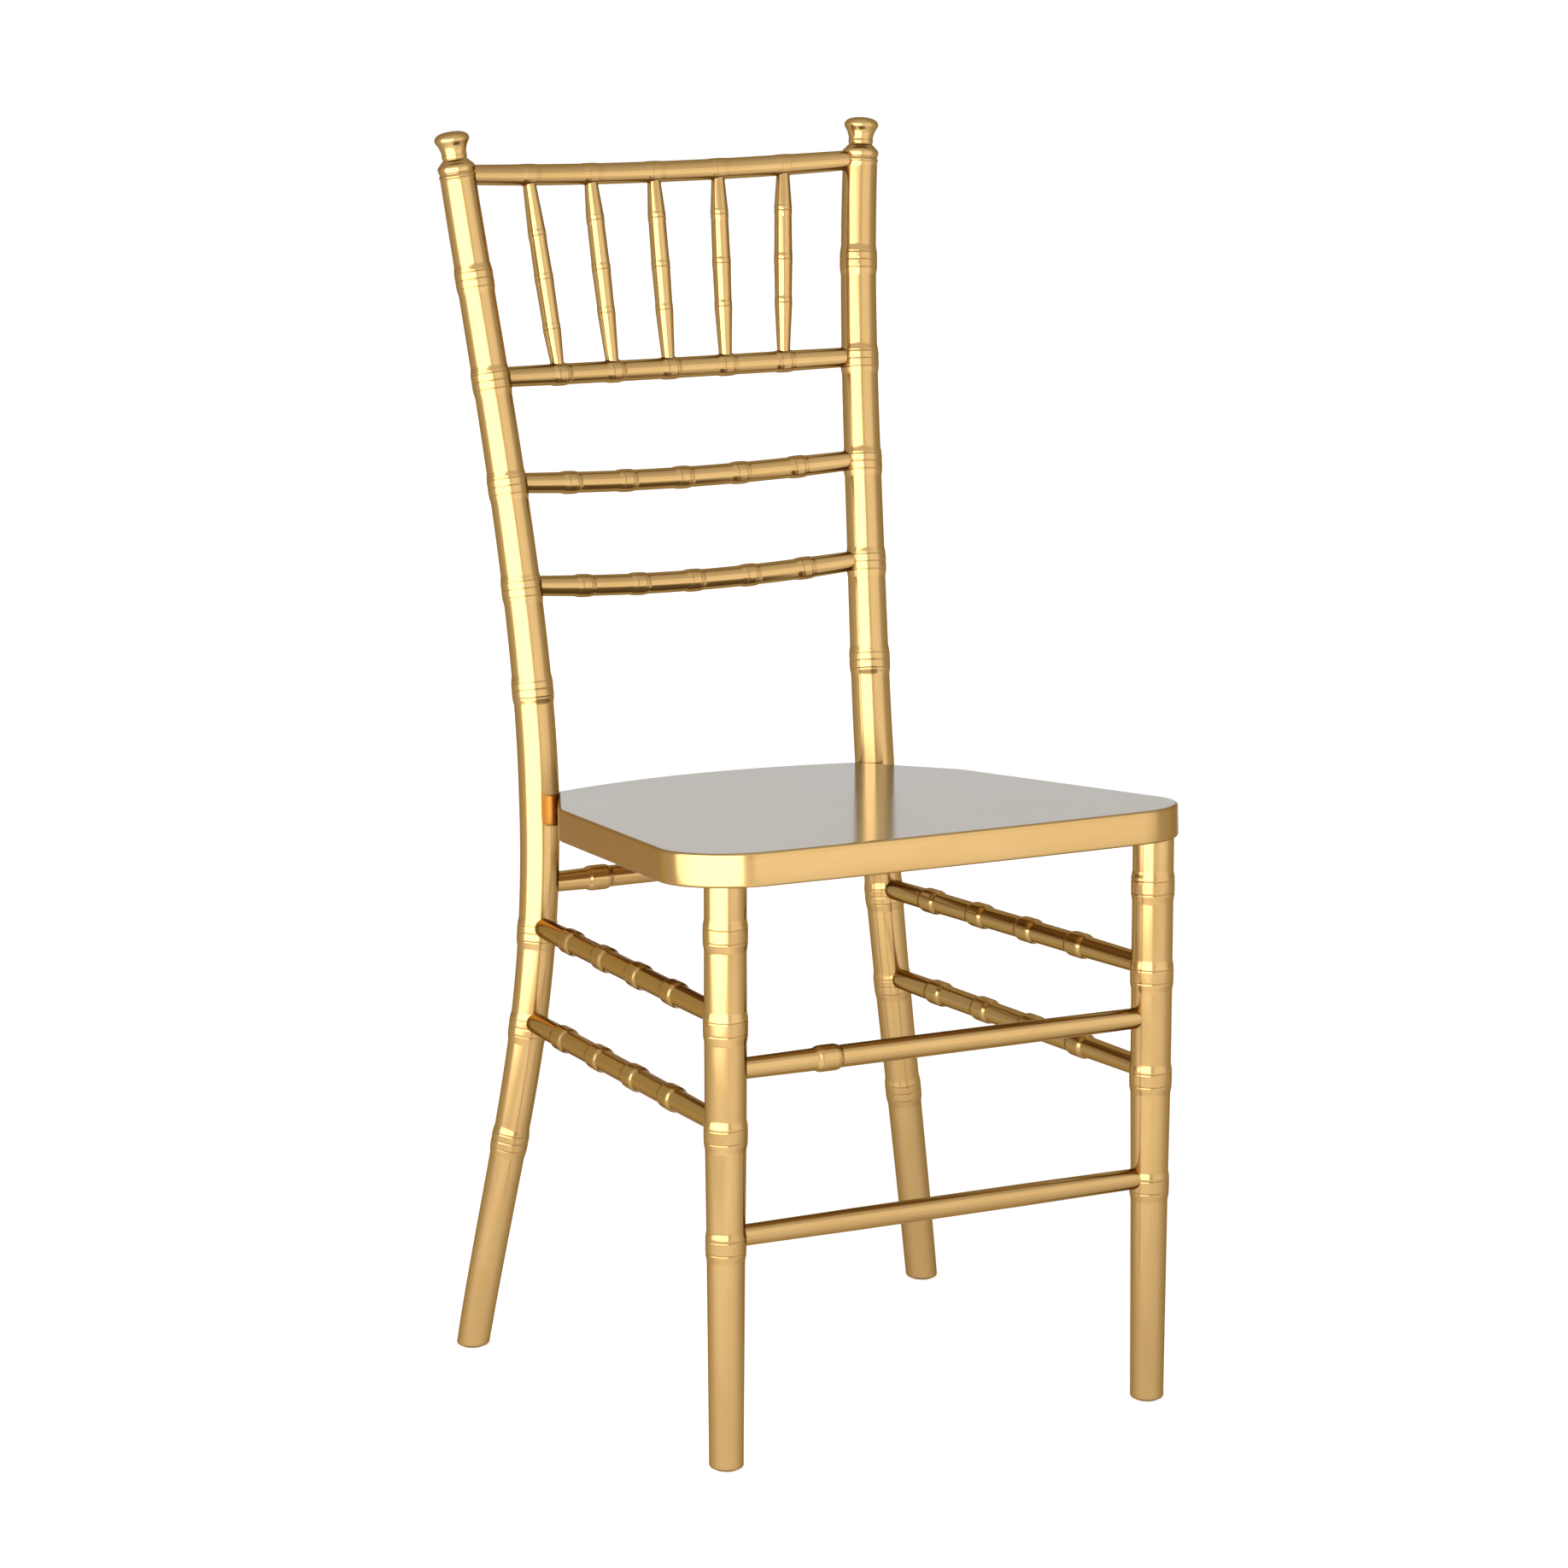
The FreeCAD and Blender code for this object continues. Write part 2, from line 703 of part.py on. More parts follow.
def seat_board(name, thickness, rounded_level, depth):
    """A flat board with the seat's outline; its own z = 0 is its upper face."""
    body = DOC.addObject("PartDesign::Body", name)
    sketch = sketch_on(body, name + "_outline", "XY_Plane")
    front = "Sizes.seat_front_half_width"
    side = "Sizes.seat_side_half_width"
    back = "Sizes.seat_back_half_width"
    corners = [("-" + front, "Sizes.seat_front_crown"), (front, "Sizes.seat_front_crown"),
               (side, SIDE_LENGTH), (back, "Sizes.seat_back_length"),
               ("-" + back, "Sizes.seat_back_length"), ("-" + side, SIDE_LENGTH)]
    outline(sketch, corners, {0: "Sizes.seat_front_crown", 3: "Sizes.seat_back_crown"})
    DOC.recompute()
    board = body.newObject("PartDesign::Pad", name + "_pad")
    board.Profile = sketch
    board.setExpression("Length", "Sizes." + thickness)
    board.Reversed = True
    body.Tip = board
    DOC.recompute()
    middle = -size(thickness) / 2
    front_points = [Vector(sign * size("seat_front_half_width"), size("seat_front_crown"), middle)
                    for sign in SIDES.values()]
    side_points = [Vector(sign * size("seat_side_half_width"), number(SHEET, SIDE_LENGTH), middle)
                   for sign in SIDES.values()]
    last = fillet(body, board, name + "_front_corners", edges_near(board.Shape, front_points),
                  "Sizes.seat_front_corner")
    last = fillet(body, last, name + "_rear_corners", edges_near(last.Shape, side_points),
                  "Sizes.seat_rear_corner")
    fillet(body, last, name + "_edge", edges_at_level(last.Shape, rounded_level),
           "Sizes.seat_edge_rounding")
    body.Placement = seat_placement(depth)
    return body


def cut(base, tools, label):
    """Cut some tools out of a piece; the result is a sub-part."""
    joined = DOC.addObject("Part::MultiFuse", label + "_tools")
    joined.Shapes = tools
    result = DOC.addObject("Part::Cut", label)
    result.Base = base
    result.Tool = joined
    return keep(result, label)


def cylinder(name, radius, height, placement):
    """A round piece or tool whose radius and height are given in words."""
    tool = DOC.addObject("Part::Cylinder", name)
    tool.setExpression("Radius", radius)
    tool.setExpression("Height", height)
    tool.Placement = placement
    return tool


def bolt_level():
    """The height of the bolts: halfway up the ring where it meets the posts."""
    depth = size("seat_top_thickness") + size("seat_frame_thickness") / 2
    return seat_level(rear_post_y() + size("post_seat_setback"), depth)


def bolt_placement(side):
    """A frame on the post's axis whose Z runs along the bolt, into the ring."""
    turn = math.radians(size("bolt_turn_degrees"))
    direction = Vector(-side * math.sin(turn), -math.cos(turn), 0)
    return Placement(post_point(side, bolt_level()), Rotation(UP, direction))


def post_notch(name, side):
    """The hollow that a post needs in one board of the seat."""
    direction = post_direction(side, bolt_level())
    start = post_point(side, bolt_level()) - direction * (2 * seat_depth())
    return cylinder(name, "Sizes.post_seat_radius + Sizes.post_seat_clearance",
                    "4 * (Sizes.seat_top_thickness + Sizes.seat_frame_thickness)",
                    Placement(start, Rotation(UP, direction)))


# The ring's inner corners: half width, length from the front, and the way its side runs on.
FRONT_INNER_HALF = "(Sizes.seat_front_half_width - Sizes.frame_front_side_width)"
REAR_INNER_HALF = "(Sizes.seat_side_half_width - Sizes.frame_rear_side_width)"
REAR_INNER_LENGTH = "(Sizes.seat_back_length - Sizes.frame_rear_width)"
INNER_CORNERS = {"front": (FRONT_INNER_HALF, "Sizes.frame_front_width", 1),
                 "rear": (REAR_INNER_HALF, REAR_INNER_LENGTH, -1)}
INNER_TAPER = "((%s - %s) / (%s - Sizes.frame_front_width))" % (
    FRONT_INNER_HALF, REAR_INNER_HALF, REAR_INNER_LENGTH)


def screw_placement(side, place):
    """The place of a screw, which points up from the underside of its glue block."""
    half, length, onward = INNER_CORNERS[place]
    inset = size("screw_inset")
    placed = seat_placement(size("seat_top_thickness") + size("block_thickness"))
    point = Vector(side * (number(SHEET, half) - inset),
                   number(SHEET, length) + onward * inset, 0)
    return Placement(placed.multVec(point), placed.Rotation)


def screw_hole(name, side, place):
    """The tool for the hole of one screw, through the block and into the seat's top."""
    return cylinder(name, "Sizes.screw_radius + Sizes.peg_clearance",
                    "Sizes.screw_length + Sizes.peg_end_clearance", screw_placement(side, place))


def corner_block(name, side, place):
    """A glue block in one corner of the ring, under the seat's top, with its screw hole."""
    label = "corner_block_%s_%s" % (place, name)
    inner, edge, onward = INNER_CORNERS[place]
    leg = "%d * Sizes.block_leg" % onward
    tip = "%d * Sizes.block_tip" % onward
    side_end = "%s - %s * %s" % (inner, leg, INNER_TAPER)
    corners = [("%d * %s" % (side, inner), edge),
               ("%d * (%s - Sizes.block_leg)" % (side, inner), edge),
               ("%d * (%s - Sizes.block_leg)" % (side, inner), "%s + %s" % (edge, tip)),
               ("%d * (%s - Sizes.block_tip)" % (side, side_end), "%s + %s" % (edge, leg)),
               ("%d * (%s)" % (side, side_end), "%s + %s" % (edge, leg))]
    body = DOC.addObject("PartDesign::Body", label + "_blank")
    sketch = sketch_on(body, label + "_outline", "XY_Plane")
    outline(sketch, corners)
    DOC.recompute()
    pad = body.newObject("PartDesign::Pad", label + "_pad")
    pad.Profile = sketch
    pad.setExpression("Length", "Sizes.block_thickness")
    pad.Reversed = True
    body.Tip = pad
    body.Placement = seat_placement(size("seat_top_thickness"))
    result = DOC.addObject("Part::Cut", label)
    result.Base = body
    result.Tool = screw_hole(label + "_hole", side, place)
    return keep(result, label)


def seat_top():
    """The thin board, hollowed for the posts and drilled for the blocks' screws."""
    board = seat_board("seat_top_board", "seat_top_thickness", 0, 0)
    tools = [post_notch("top_notch_" + name, side) for name, side in SIDES.items()]
    for place in INNER_CORNERS:
        tools += [screw_hole("top_%s_%s_hole" % (place, name), side, place)
                  for name, side in SIDES.items()]
    return cut(board, tools, "seat_top")


def seat_frame():
    """The ring, with the legs' mortises, the posts' hollows and the bolts' holes."""
    ring = seat_board("seat_ring", "seat_frame_thickness", -size("seat_frame_thickness"),
                      size("seat_top_thickness"))
    sketch = sketch_on(ring, "seat_ring_opening", "XY_Plane")
    outline(sketch, [("-" + FRONT_INNER_HALF, "Sizes.frame_front_width"),
                     (FRONT_INNER_HALF, "Sizes.frame_front_width"),
                     (REAR_INNER_HALF, REAR_INNER_LENGTH),
                     ("-" + REAR_INNER_HALF, REAR_INNER_LENGTH)])
    DOC.recompute()
    opening = ring.newObject("PartDesign::Pocket", "seat_ring_pocket")
    opening.Profile = sketch
    opening.Type = "ThroughAll"
    ring.Tip = opening
    DOC.recompute()
    tools = []
    for name, side in SIDES.items():
        tools.append(post_notch("frame_notch_" + name, side))
        mortise_foot = leg_point(side, leg_top_level() - size("seat_frame_thickness"))
        tools.append(cylinder("mortise_" + name, "Sizes.leg_tenon_radius + Sizes.peg_clearance",
                              "Sizes.seat_frame_thickness + Sizes.leg_tenon_length"
                              " + Sizes.peg_end_clearance",
                              Placement(mortise_foot, Rotation())))
        tools.append(cylinder("frame_bolt_hole_" + name, "Sizes.bolt_radius + Sizes.peg_clearance",
                              "Sizes.bolt_reach + Sizes.peg_end_clearance", bolt_placement(side)))
    return cut(ring, tools, "seat_frame")


# Front legs, glides and fasteners.

def leg_top_level():
    """The height at which a front leg's axis meets the underside of the seat."""
    return seat_level(size("seat_front_y") + size("leg_front_inset"), seat_depth())


def glide_hole(point):
    """The hole for a glide's pin in the foot above it."""
    return Part.makeCylinder(size("glide_pin_radius") + size("peg_clearance"),
                             size("glide_thickness") + size("glide_pin_length")
                             + size("peg_end_clearance"), Vector(point.x, point.y, 0), UP)


def front_leg(name, side):
    """A straight turned leg, cut to the seat's slope and tenoned up into the ring."""
    label = "front_leg_" + name
    place = "Sizes.seat_front_height * Sizes.%s_leg_share"
    drop = " - Sizes.stretcher_node_drop"
    spare = size("leg_top_radius")
    blank_top = fitted(label + "_blank_top", leg_top_level() + spare)
    stations = [("Sizes.glide_thickness", "Sizes.leg_foot_radius - Sizes.foot_rounding"),
                ("Sizes.glide_thickness + Sizes.foot_rounding", "Sizes.leg_foot_radius")]
    for height, radius in ((place % "front_lower" + drop, "Sizes.leg_ankle_radius"),
                           (place % "side_lower_front" + drop, "Sizes.leg_shin_radius"),
                           (place % "side_upper" + drop, "Sizes.leg_top_radius"),
                           (place % "leg_top_node", "Sizes.leg_top_radius")):
        stations += node_words(height, radius, "node")
    stations.append((blank_top, "Sizes.leg_top_radius"))
    blank = turned_body(label + "_blank", stations)
    blank.Placement = Placement(leg_point(side, 0), Rotation())
    slope = DOC.addObject("Part::Box", label + "_slope")
    slope.setExpression("Length", "2 * Sizes.seat_front_half_width")
    slope.setExpression("Width", "2 * Sizes.seat_front_half_width")
    slope.setExpression("Height", "4 * Sizes.leg_top_radius")
    corner = Vector(-1, -1, 0) * size("seat_front_half_width")
    slope.Placement = seat_placement(seat_depth()) * Placement(corner, Rotation())
    sockets = [feature("%s_socket_%d" % (label, place), socket)
               for place, socket in enumerate(SOCKETS[label], start=1)]
    joined = DOC.addObject("Part::MultiFuse", label + "_tools")
    joined.Shapes = [slope] + sockets
    shaft = DOC.addObject("Part::Cut", label + "_shaft")
    shaft.Base = blank
    shaft.Tool = joined
    tenon_height = fitted(label + "_tenon_height", spare + size("leg_tenon_length"))
    tenon = cylinder(label + "_tenon", "Sizes.leg_tenon_radius", tenon_height,
                     Placement(leg_point(side, leg_top_level() - spare), Rotation()))
    leg = DOC.addObject("Part::Fuse", label)
    leg.Base = shaft
    leg.Tool = tenon
    return keep(leg, label)


def glide(label, point):
    """A nylon glide: a disc under the foot, with a pin up into it."""
    disc = "Sizes.glide_thickness"
    body = turned_body(label, [("0", "Sizes.glide_radius"), (disc, "Sizes.glide_radius"),
                               (disc, "Sizes.glide_pin_radius"),
                               (disc + " + Sizes.glide_pin_length", "Sizes.glide_pin_radius")])
    body.Placement = Placement(Vector(point.x, point.y, 0), Rotation())
    return keep(body, label)


def post_bolt(name, side):
    """A bolt from the outer back of a post through it into the ring."""
    head_foot = "Sizes.bolt_recess - Sizes.post_seat_radius"
    body = turned_body("post_bolt_" + name,
                       [(head_foot + " - Sizes.bolt_head_height", "Sizes.bolt_head_radius"),
                        (head_foot, "Sizes.bolt_head_radius"),
                        (head_foot, "Sizes.bolt_radius"),
                        ("Sizes.bolt_reach", "Sizes.bolt_radius")])
    body.Placement = bolt_placement(side)
    return keep(body, "post_bolt_" + name)


def bolt_hole_in_post(side):
    """The stepped hole for a bolt in its post."""
    placed = bolt_placement(side)
    direction = placed.Rotation.multVec(UP)
    radius = size("post_seat_radius")
    floor = placed.Base + direction * (size("bolt_recess") - radius)
    recess = Part.makeCylinder(size("bolt_head_radius") + size("peg_clearance"), 2 * radius,
                               floor, direction * -1)
    hole = Part.makeCylinder(size("bolt_radius") + size("peg_clearance"), 3 * radius,
                             floor, direction)
    return recess.fuse(hole)


def block_screws():
    """One screw up through each glue block into the seat's top, as one group."""
    screws = []
    for name, side in SIDES.items():
        for place in INNER_CORNERS:
            screw = turned_body("screw_%s_%s" % (place, name),
                                [("-Sizes.screw_head_height", "Sizes.screw_head_radius"),
                                 ("0", "Sizes.screw_head_radius"), ("0", "Sizes.screw_radius"),
                                 ("Sizes.screw_length", "Sizes.screw_radius")])
            screw.Placement = screw_placement(side, place)
            screws.append(screw)
    group = DOC.addObject("Part::Compound", "block_screws")
    group.Links = screws
    return keep(group, "block_screws")


# The members come before the pieces that carry them, so that each carrier knows its sockets.

for side_name, side_sign in SIDES.items():
    side_stretchers(side_name, side_sign)
front_and_rear_stretchers()
spindles()
back_rail("crest_rail", "crest_rail", spindle_shares("crest_spindle_share"), "crest_node")
back_rail("spindle_rail", "spindle_rail", spindle_shares("spindle_rail_spindle_share"))
back_rail("upper_ladder", "upper_ladder_rail", spindle_shares("ladder_node_share"))
back_rail("lower_ladder", "lower_ladder_rail", spindle_shares("ladder_node_share"))
for side_name, side_sign in SIDES.items():
    foot_point = post_point(side_sign, 0)
    SOCKETS["rear_post_" + side_name] += [glide_hole(foot_point), bolt_hole_in_post(side_sign)]
    SOCKETS["front_leg_" + side_name].append(glide_hole(leg_point(side_sign, 0)))
    rear_post(side_name, side_sign)
    front_leg(side_name, side_sign)
    glide("glide_rear_" + side_name, foot_point)
    glide("glide_front_" + side_name, leg_point(side_sign, 0))
    post_bolt(side_name, side_sign)
    for corner_place in INNER_CORNERS:
        corner_block(side_name, side_sign, corner_place)
seat_top()
seat_frame()
block_screws()
DOC.recompute()

for item in DOC.Objects:
    faults = {"Invalid", "Error"}.intersection(item.State)
    if faults:
        raise RuntimeError("%s is %s" % (item.Label, ", ".join(faults)))
for piece in SUB_PARTS:
    if piece.Shape.isNull() or not piece.Shape.isValid():
        raise RuntimeError("%s has no valid shape" % piece.Label)

os.makedirs("parts", exist_ok=True)
for piece in SUB_PARTS:
    piece.Shape.exportStep("parts/%s.step" % piece.Label)
    print("%-28s %d solid(s) %10.1f mm3" % (piece.Label, len(piece.Shape.Solids), piece.Shape.Volume))
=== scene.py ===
import math

import bpy
import numpy as np
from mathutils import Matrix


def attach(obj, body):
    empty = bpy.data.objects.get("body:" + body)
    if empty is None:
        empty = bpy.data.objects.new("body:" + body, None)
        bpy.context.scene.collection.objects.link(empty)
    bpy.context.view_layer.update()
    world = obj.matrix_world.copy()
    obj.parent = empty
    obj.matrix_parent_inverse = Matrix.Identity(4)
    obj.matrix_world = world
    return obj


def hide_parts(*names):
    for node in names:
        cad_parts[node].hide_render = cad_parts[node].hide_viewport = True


# A chiavari chair of bamboo-turned beech under gold lacquer. Lengths are in millimetres, and
# become metres where they go into a mesh, a lamp or the camera.

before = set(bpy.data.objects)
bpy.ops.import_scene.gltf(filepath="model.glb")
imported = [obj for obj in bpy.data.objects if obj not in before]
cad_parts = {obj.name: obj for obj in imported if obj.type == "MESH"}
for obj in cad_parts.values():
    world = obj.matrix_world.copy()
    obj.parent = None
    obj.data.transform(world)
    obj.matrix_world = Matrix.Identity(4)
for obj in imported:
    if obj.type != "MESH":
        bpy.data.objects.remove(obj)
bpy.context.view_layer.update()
MM = 0.001

# The camera
# A long lens stands at the chair's front left, a little above the seat, and looks down on it.

CAMERA_PLACE = np.array([-1936.8, -3483.7, 1176.7]) * MM
CAMERA_TURN = math.radians(28.92)
CAMERA_DIP = math.radians(10.46)
CAMERA_LENS = 125.95

camera = bpy.data.objects.new("camera", bpy.data.cameras.new("camera"))
camera.data.sensor_width = 36
camera.data.lens = CAMERA_LENS
camera.location = CAMERA_PLACE
camera.rotation_euler = (math.pi / 2 - CAMERA_DIP, 0, -CAMERA_TURN)
bpy.context.scene.collection.objects.link(camera)
bpy.context.scene.camera = camera
bpy.context.scene.view_settings.view_transform = "Standard"

# The studio
# A white sweep, even fill from all round, and two broad soft boxes close by the chair, the left
# one brighter. The sweep shows white to the eye and in the lacquer, and keeps a soft shadow.

FILL_COLOUR = "#a8a8a8"
SWEEP_COLOUR = "#cfcfcf"
# The sweep's own glow by the chair and far from it, and the distances in metres between which
# it grows, so that no edge shows against the white behind.
SWEEP_GLOW = 0.72
FAR_SWEEP_GLOW = 0.95
NEAR_REACH = 0.45
FAR_REACH = 1.5
SWEEP_HALF_WIDTH = 9000


def linear(code):
    """sRGB hex to linear RGBA: ((c + 0.055) / 1.055) to the power 2.4, or c / 12.92 where dark."""
    channels = np.array([int(code[place:place + 2], 16) for place in (1, 3, 5)]) / 255
    light = np.where(channels <= 0.04045, channels / 12.92, ((channels + 0.055) / 1.055) ** 2.4)
    return [*light.tolist(), 1.0]


def add_node(tree, kind, inputs=None, **settings):
    """Add a node with its settings; an input takes a constant, or a link from an output."""
    node = tree.nodes.new(kind)
    for name, value in settings.items():
        setattr(node, name, value)
    for socket, value in (inputs or {}).items():
        if isinstance(value, bpy.types.NodeSocket):
            tree.links.new(value, node.inputs[socket])
        else:
            node.inputs[socket].default_value = value
    return node


def seen(tree):
    """One for rays that show a surface to the eye, straight, mirrored or through glass."""
    path = add_node(tree, "ShaderNodeLightPath").outputs
    both = add_node(tree, "ShaderNodeMath", {0: path["Is Camera Ray"], 1: path["Is Glossy Ray"]},
                    operation="MAXIMUM")
    return add_node(tree, "ShaderNodeMath", {0: both.outputs[0], 1: path["Is Transmission Ray"]},
                    operation="MAXIMUM").outputs[0]


world = bpy.data.worlds.new("white_studio")
world.use_nodes = True
bpy.context.scene.world = world
air = world.node_tree
air.nodes.clear()
fill = add_node(air, "ShaderNodeBackground", {"Color": linear(FILL_COLOUR)})
white = add_node(air, "ShaderNodeBackground", {"Color": linear("#ffffff")})
mixed = add_node(air, "ShaderNodeMixShader", {0: seen(air), 1: fill.outputs[0], 2: white.outputs[0]})
add_node(air, "ShaderNodeOutputWorld", {"Surface": mixed.outputs[0]})

sweep_paint = bpy.data.materials.new("white_paper_sweep")
sweep_paint.use_nodes = True
paper = sweep_paint.node_tree
paper.nodes.clear()
place = add_node(paper, "ShaderNodeTexCoord")
away = add_node(paper, "ShaderNodeVectorMath", {0: place.outputs["Object"]}, operation="LENGTH")
level = add_node(paper, "ShaderNodeMapRange", {"Value": away.outputs["Value"], "From Min": NEAR_REACH,
                                               "From Max": FAR_REACH, "To Min": SWEEP_GLOW,
                                               "To Max": FAR_SWEEP_GLOW})
share = add_node(paper, "ShaderNodeMath", {0: seen(paper), 1: level.outputs["Result"]},
                 operation="MULTIPLY")
matt = add_node(paper, "ShaderNodeBsdfDiffuse", {"Color": linear(SWEEP_COLOUR)})
glow = add_node(paper, "ShaderNodeEmission", {"Color": linear("#ffffff"), "Strength": share.outputs[0]})
both = add_node(paper, "ShaderNodeAddShader", {0: matt.outputs[0], 1: glow.outputs[0]})
add_node(paper, "ShaderNodeOutputMaterial", {"Surface": both.outputs[0]})

reach = SWEEP_HALF_WIDTH * MM
floor_mesh = bpy.data.meshes.new("floor")
floor_mesh.from_pydata([(-reach, -reach, 0), (reach, -reach, 0), (reach, reach, 0), (-reach, reach, 0)],
                       [], [(0, 1, 2, 3)])
floor_mesh.materials.append(sweep_paint)
floor = bpy.data.objects.new("floor", floor_mesh)
bpy.context.scene.collection.objects.link(floor)


def soft_box(name, turn, distance, width, foot, top, radiance):
    """An upright lamp that faces the chair.

    It stands at a turn, in degrees, from the camera's side of the chair: positive is the
    viewer's right. Its power is radiance times pi times its area. A gloss shows it on top of
    the white behind it.
    """
    angle = CAMERA_TURN - math.radians(turn)
    lamp = bpy.data.lights.new(name, "AREA")
    lamp.shape = "RECTANGLE"
    lamp.size = width * MM
    lamp.size_y = (top - foot) * MM
    lamp.energy = radiance * math.pi * lamp.size * lamp.size_y
    holder = bpy.data.objects.new(name, lamp)
    holder.location = (-math.sin(angle) * distance * MM, -math.cos(angle) * distance * MM,
                       (foot + top) / 2 * MM)
    holder.rotation_euler = (math.pi / 2, 0, -angle)
    holder.visible_camera = False
    bpy.context.scene.collection.objects.link(holder)


soft_box("left_soft_box", turn=-35, distance=950, width=1750, foot=150, top=1200, radiance=3.4)
soft_box("right_soft_box", turn=54, distance=1500, width=1800, foot=150, top=1500, radiance=0.5)

# Rear posts
# Each is a leg and a back post in one: beech turned with bamboo nodes and a finial, then steamed
# and bent outwards and back. The gold lacquer is sprayed over the whole chair once it is glued.

POST_Y = 137.8
POST_HEIGHTS = [0, 130, 260, 424, 600, 760, 914]
POST_HALF_SPANS = [197.8, 176.8, 156.8, 144.8, 149.3, 160.4, 175.6]
POST_SETBACKS = [15.8, 4.2, -4.7, 1.4, 24.9, 54.9, 77.9]
POST_RADIUS_HEIGHTS = [0, 130, 260, 424, 600, 760, 886]
POST_RADII = [12.4, 13.0, 13.9, 15.2, 14.4, 13.8, 13.3]
POST_NODE_HEIGHTS = [160.0, 247.7, 319.5, 502.0, 576.7, 652.5, 730.0, 805.0]
FOOT_LEVEL = 1.2
FOOT_ROUNDING = 2.5
POST_TOP = 914.0
# Above the foot's rounding a post turns from upright to its own slope over this length.
FOOT_EASING = 25.0
# The finial's outline: drops from its crown and radii, crown first.
FINIAL = [(0.0, 0.0), (0.2, 4.0), (1.0, 8.2), (2.6, 11.4), (5.0, 13.0), (6.8, 13.0), (8.6, 12.1),
          (10.6, 10.9), (13.4, 9.9), (16.8, 9.3), (19.6, 9.3), (20.6, 9.0), (21.6, 9.9), (23.4, 11.6),
          (25.2, 13.4), (26.6, 14.0), (28.6, 13.8), (30.0, 13.4), (30.8, 13.0), (31.6, 13.3),
          (34.0, 13.35)]
# Turned lines on it: drop from its crown, strength of the painted shade in the line, width.
FINIAL_LINES = [(20.6, 1.0, 0.6), (30.8, 0.7, 0.5)]


def spline(knots, values, places):
    """A cubic spline through (knot, value) rows, read at some places.

    Inner slopes make the second derivative run through; each end slope is that of the cubic
    through the four outermost values. Between knots it is the cubic with those slopes.
    """
    knots = np.asarray(knots, float)
    values = np.asarray(values, float).reshape(len(knots), -1)
    steps = np.diff(knots)
    rises = np.diff(values, axis=0) / steps[:, None]
    matrix = np.eye(len(knots))
    wanted = np.zeros_like(values)
    inner = np.arange(1, len(knots) - 1)
    matrix[inner, inner - 1] = steps[1:]
    matrix[inner, inner] = 2 * (steps[:-1] + steps[1:])
    matrix[inner, inner + 1] = steps[:-1]
    wanted[1:-1] = 3 * (steps[1:, None] * rises[:-1] + steps[:-1, None] * rises[1:])
    wanted[0] = np.polyfit(knots[:4] - knots[0], values[:4], 3)[2]
    wanted[-1] = np.polyfit(knots[-4:] - knots[-1], values[-4:], 3)[2]
    slopes = np.linalg.solve(matrix, wanted)
    spot = np.clip(np.searchsorted(knots, places) - 1, 0, len(steps) - 1)
    share = ((places - knots[spot]) / steps[spot])[:, None]
    step = steps[spot][:, None]
    return (values[spot] * (1 + 2 * share) * (1 - share) ** 2
            + values[spot + 1] * share ** 2 * (3 - 2 * share)
            + step * (slopes[spot] * share * (1 - share) ** 2
                      - slopes[spot + 1] * share ** 2 * (1 - share)))


def smooth_step(share):
    """Zero to one with level ends: 3 s^2 - 2 s^3."""
    share = np.clip(share, 0, 1)
    return share * share * (3 - 2 * share)


def post_axis(side, heights):
    """Points on a post's bent axis at some heights."""
    knots = np.array([side * np.array(POST_HALF_SPANS), POST_Y + np.array(POST_SETBACKS)]).T
    across = spline(POST_HEIGHTS, knots, heights)
    return np.column_stack([across, heights])


def bamboo(places, centres, band, swell, rise, lines, depth, width=0.45):
    """The relief of bamboo nodes along a turning, and how deep in a turned line each place lies.

    A node rises by smooth swells to a band. The lines are cut at offsets from its centre, each
    as depth times exp(-(d / width)^2).
    """
    relief = np.zeros_like(places)
    cut = np.zeros_like(places)
    for centre in centres:
        away = places - centre
        relief += rise * smooth_step((band / 2 + swell - np.abs(away)) / swell)
        for line in lines:
            cut += np.exp(-((away - line) / width) ** 2)
    return relief - depth * cut, np.clip(cut, 0, 1)


def finely(start, end, step, centres, half, fine):
    """Places along a piece, its two ends too: a plain step, and a fine one near each centre."""
    start, end = round(float(start), 3), round(float(end), 3)
    places = [np.linspace(start, end, int((end - start) / step) + 2)]
    places += [np.arange(centre - half, centre + half, fine) for centre in centres]
    places = np.unique(np.round(np.concatenate(places), 3))
    return places[(places >= start) & (places <= end)]


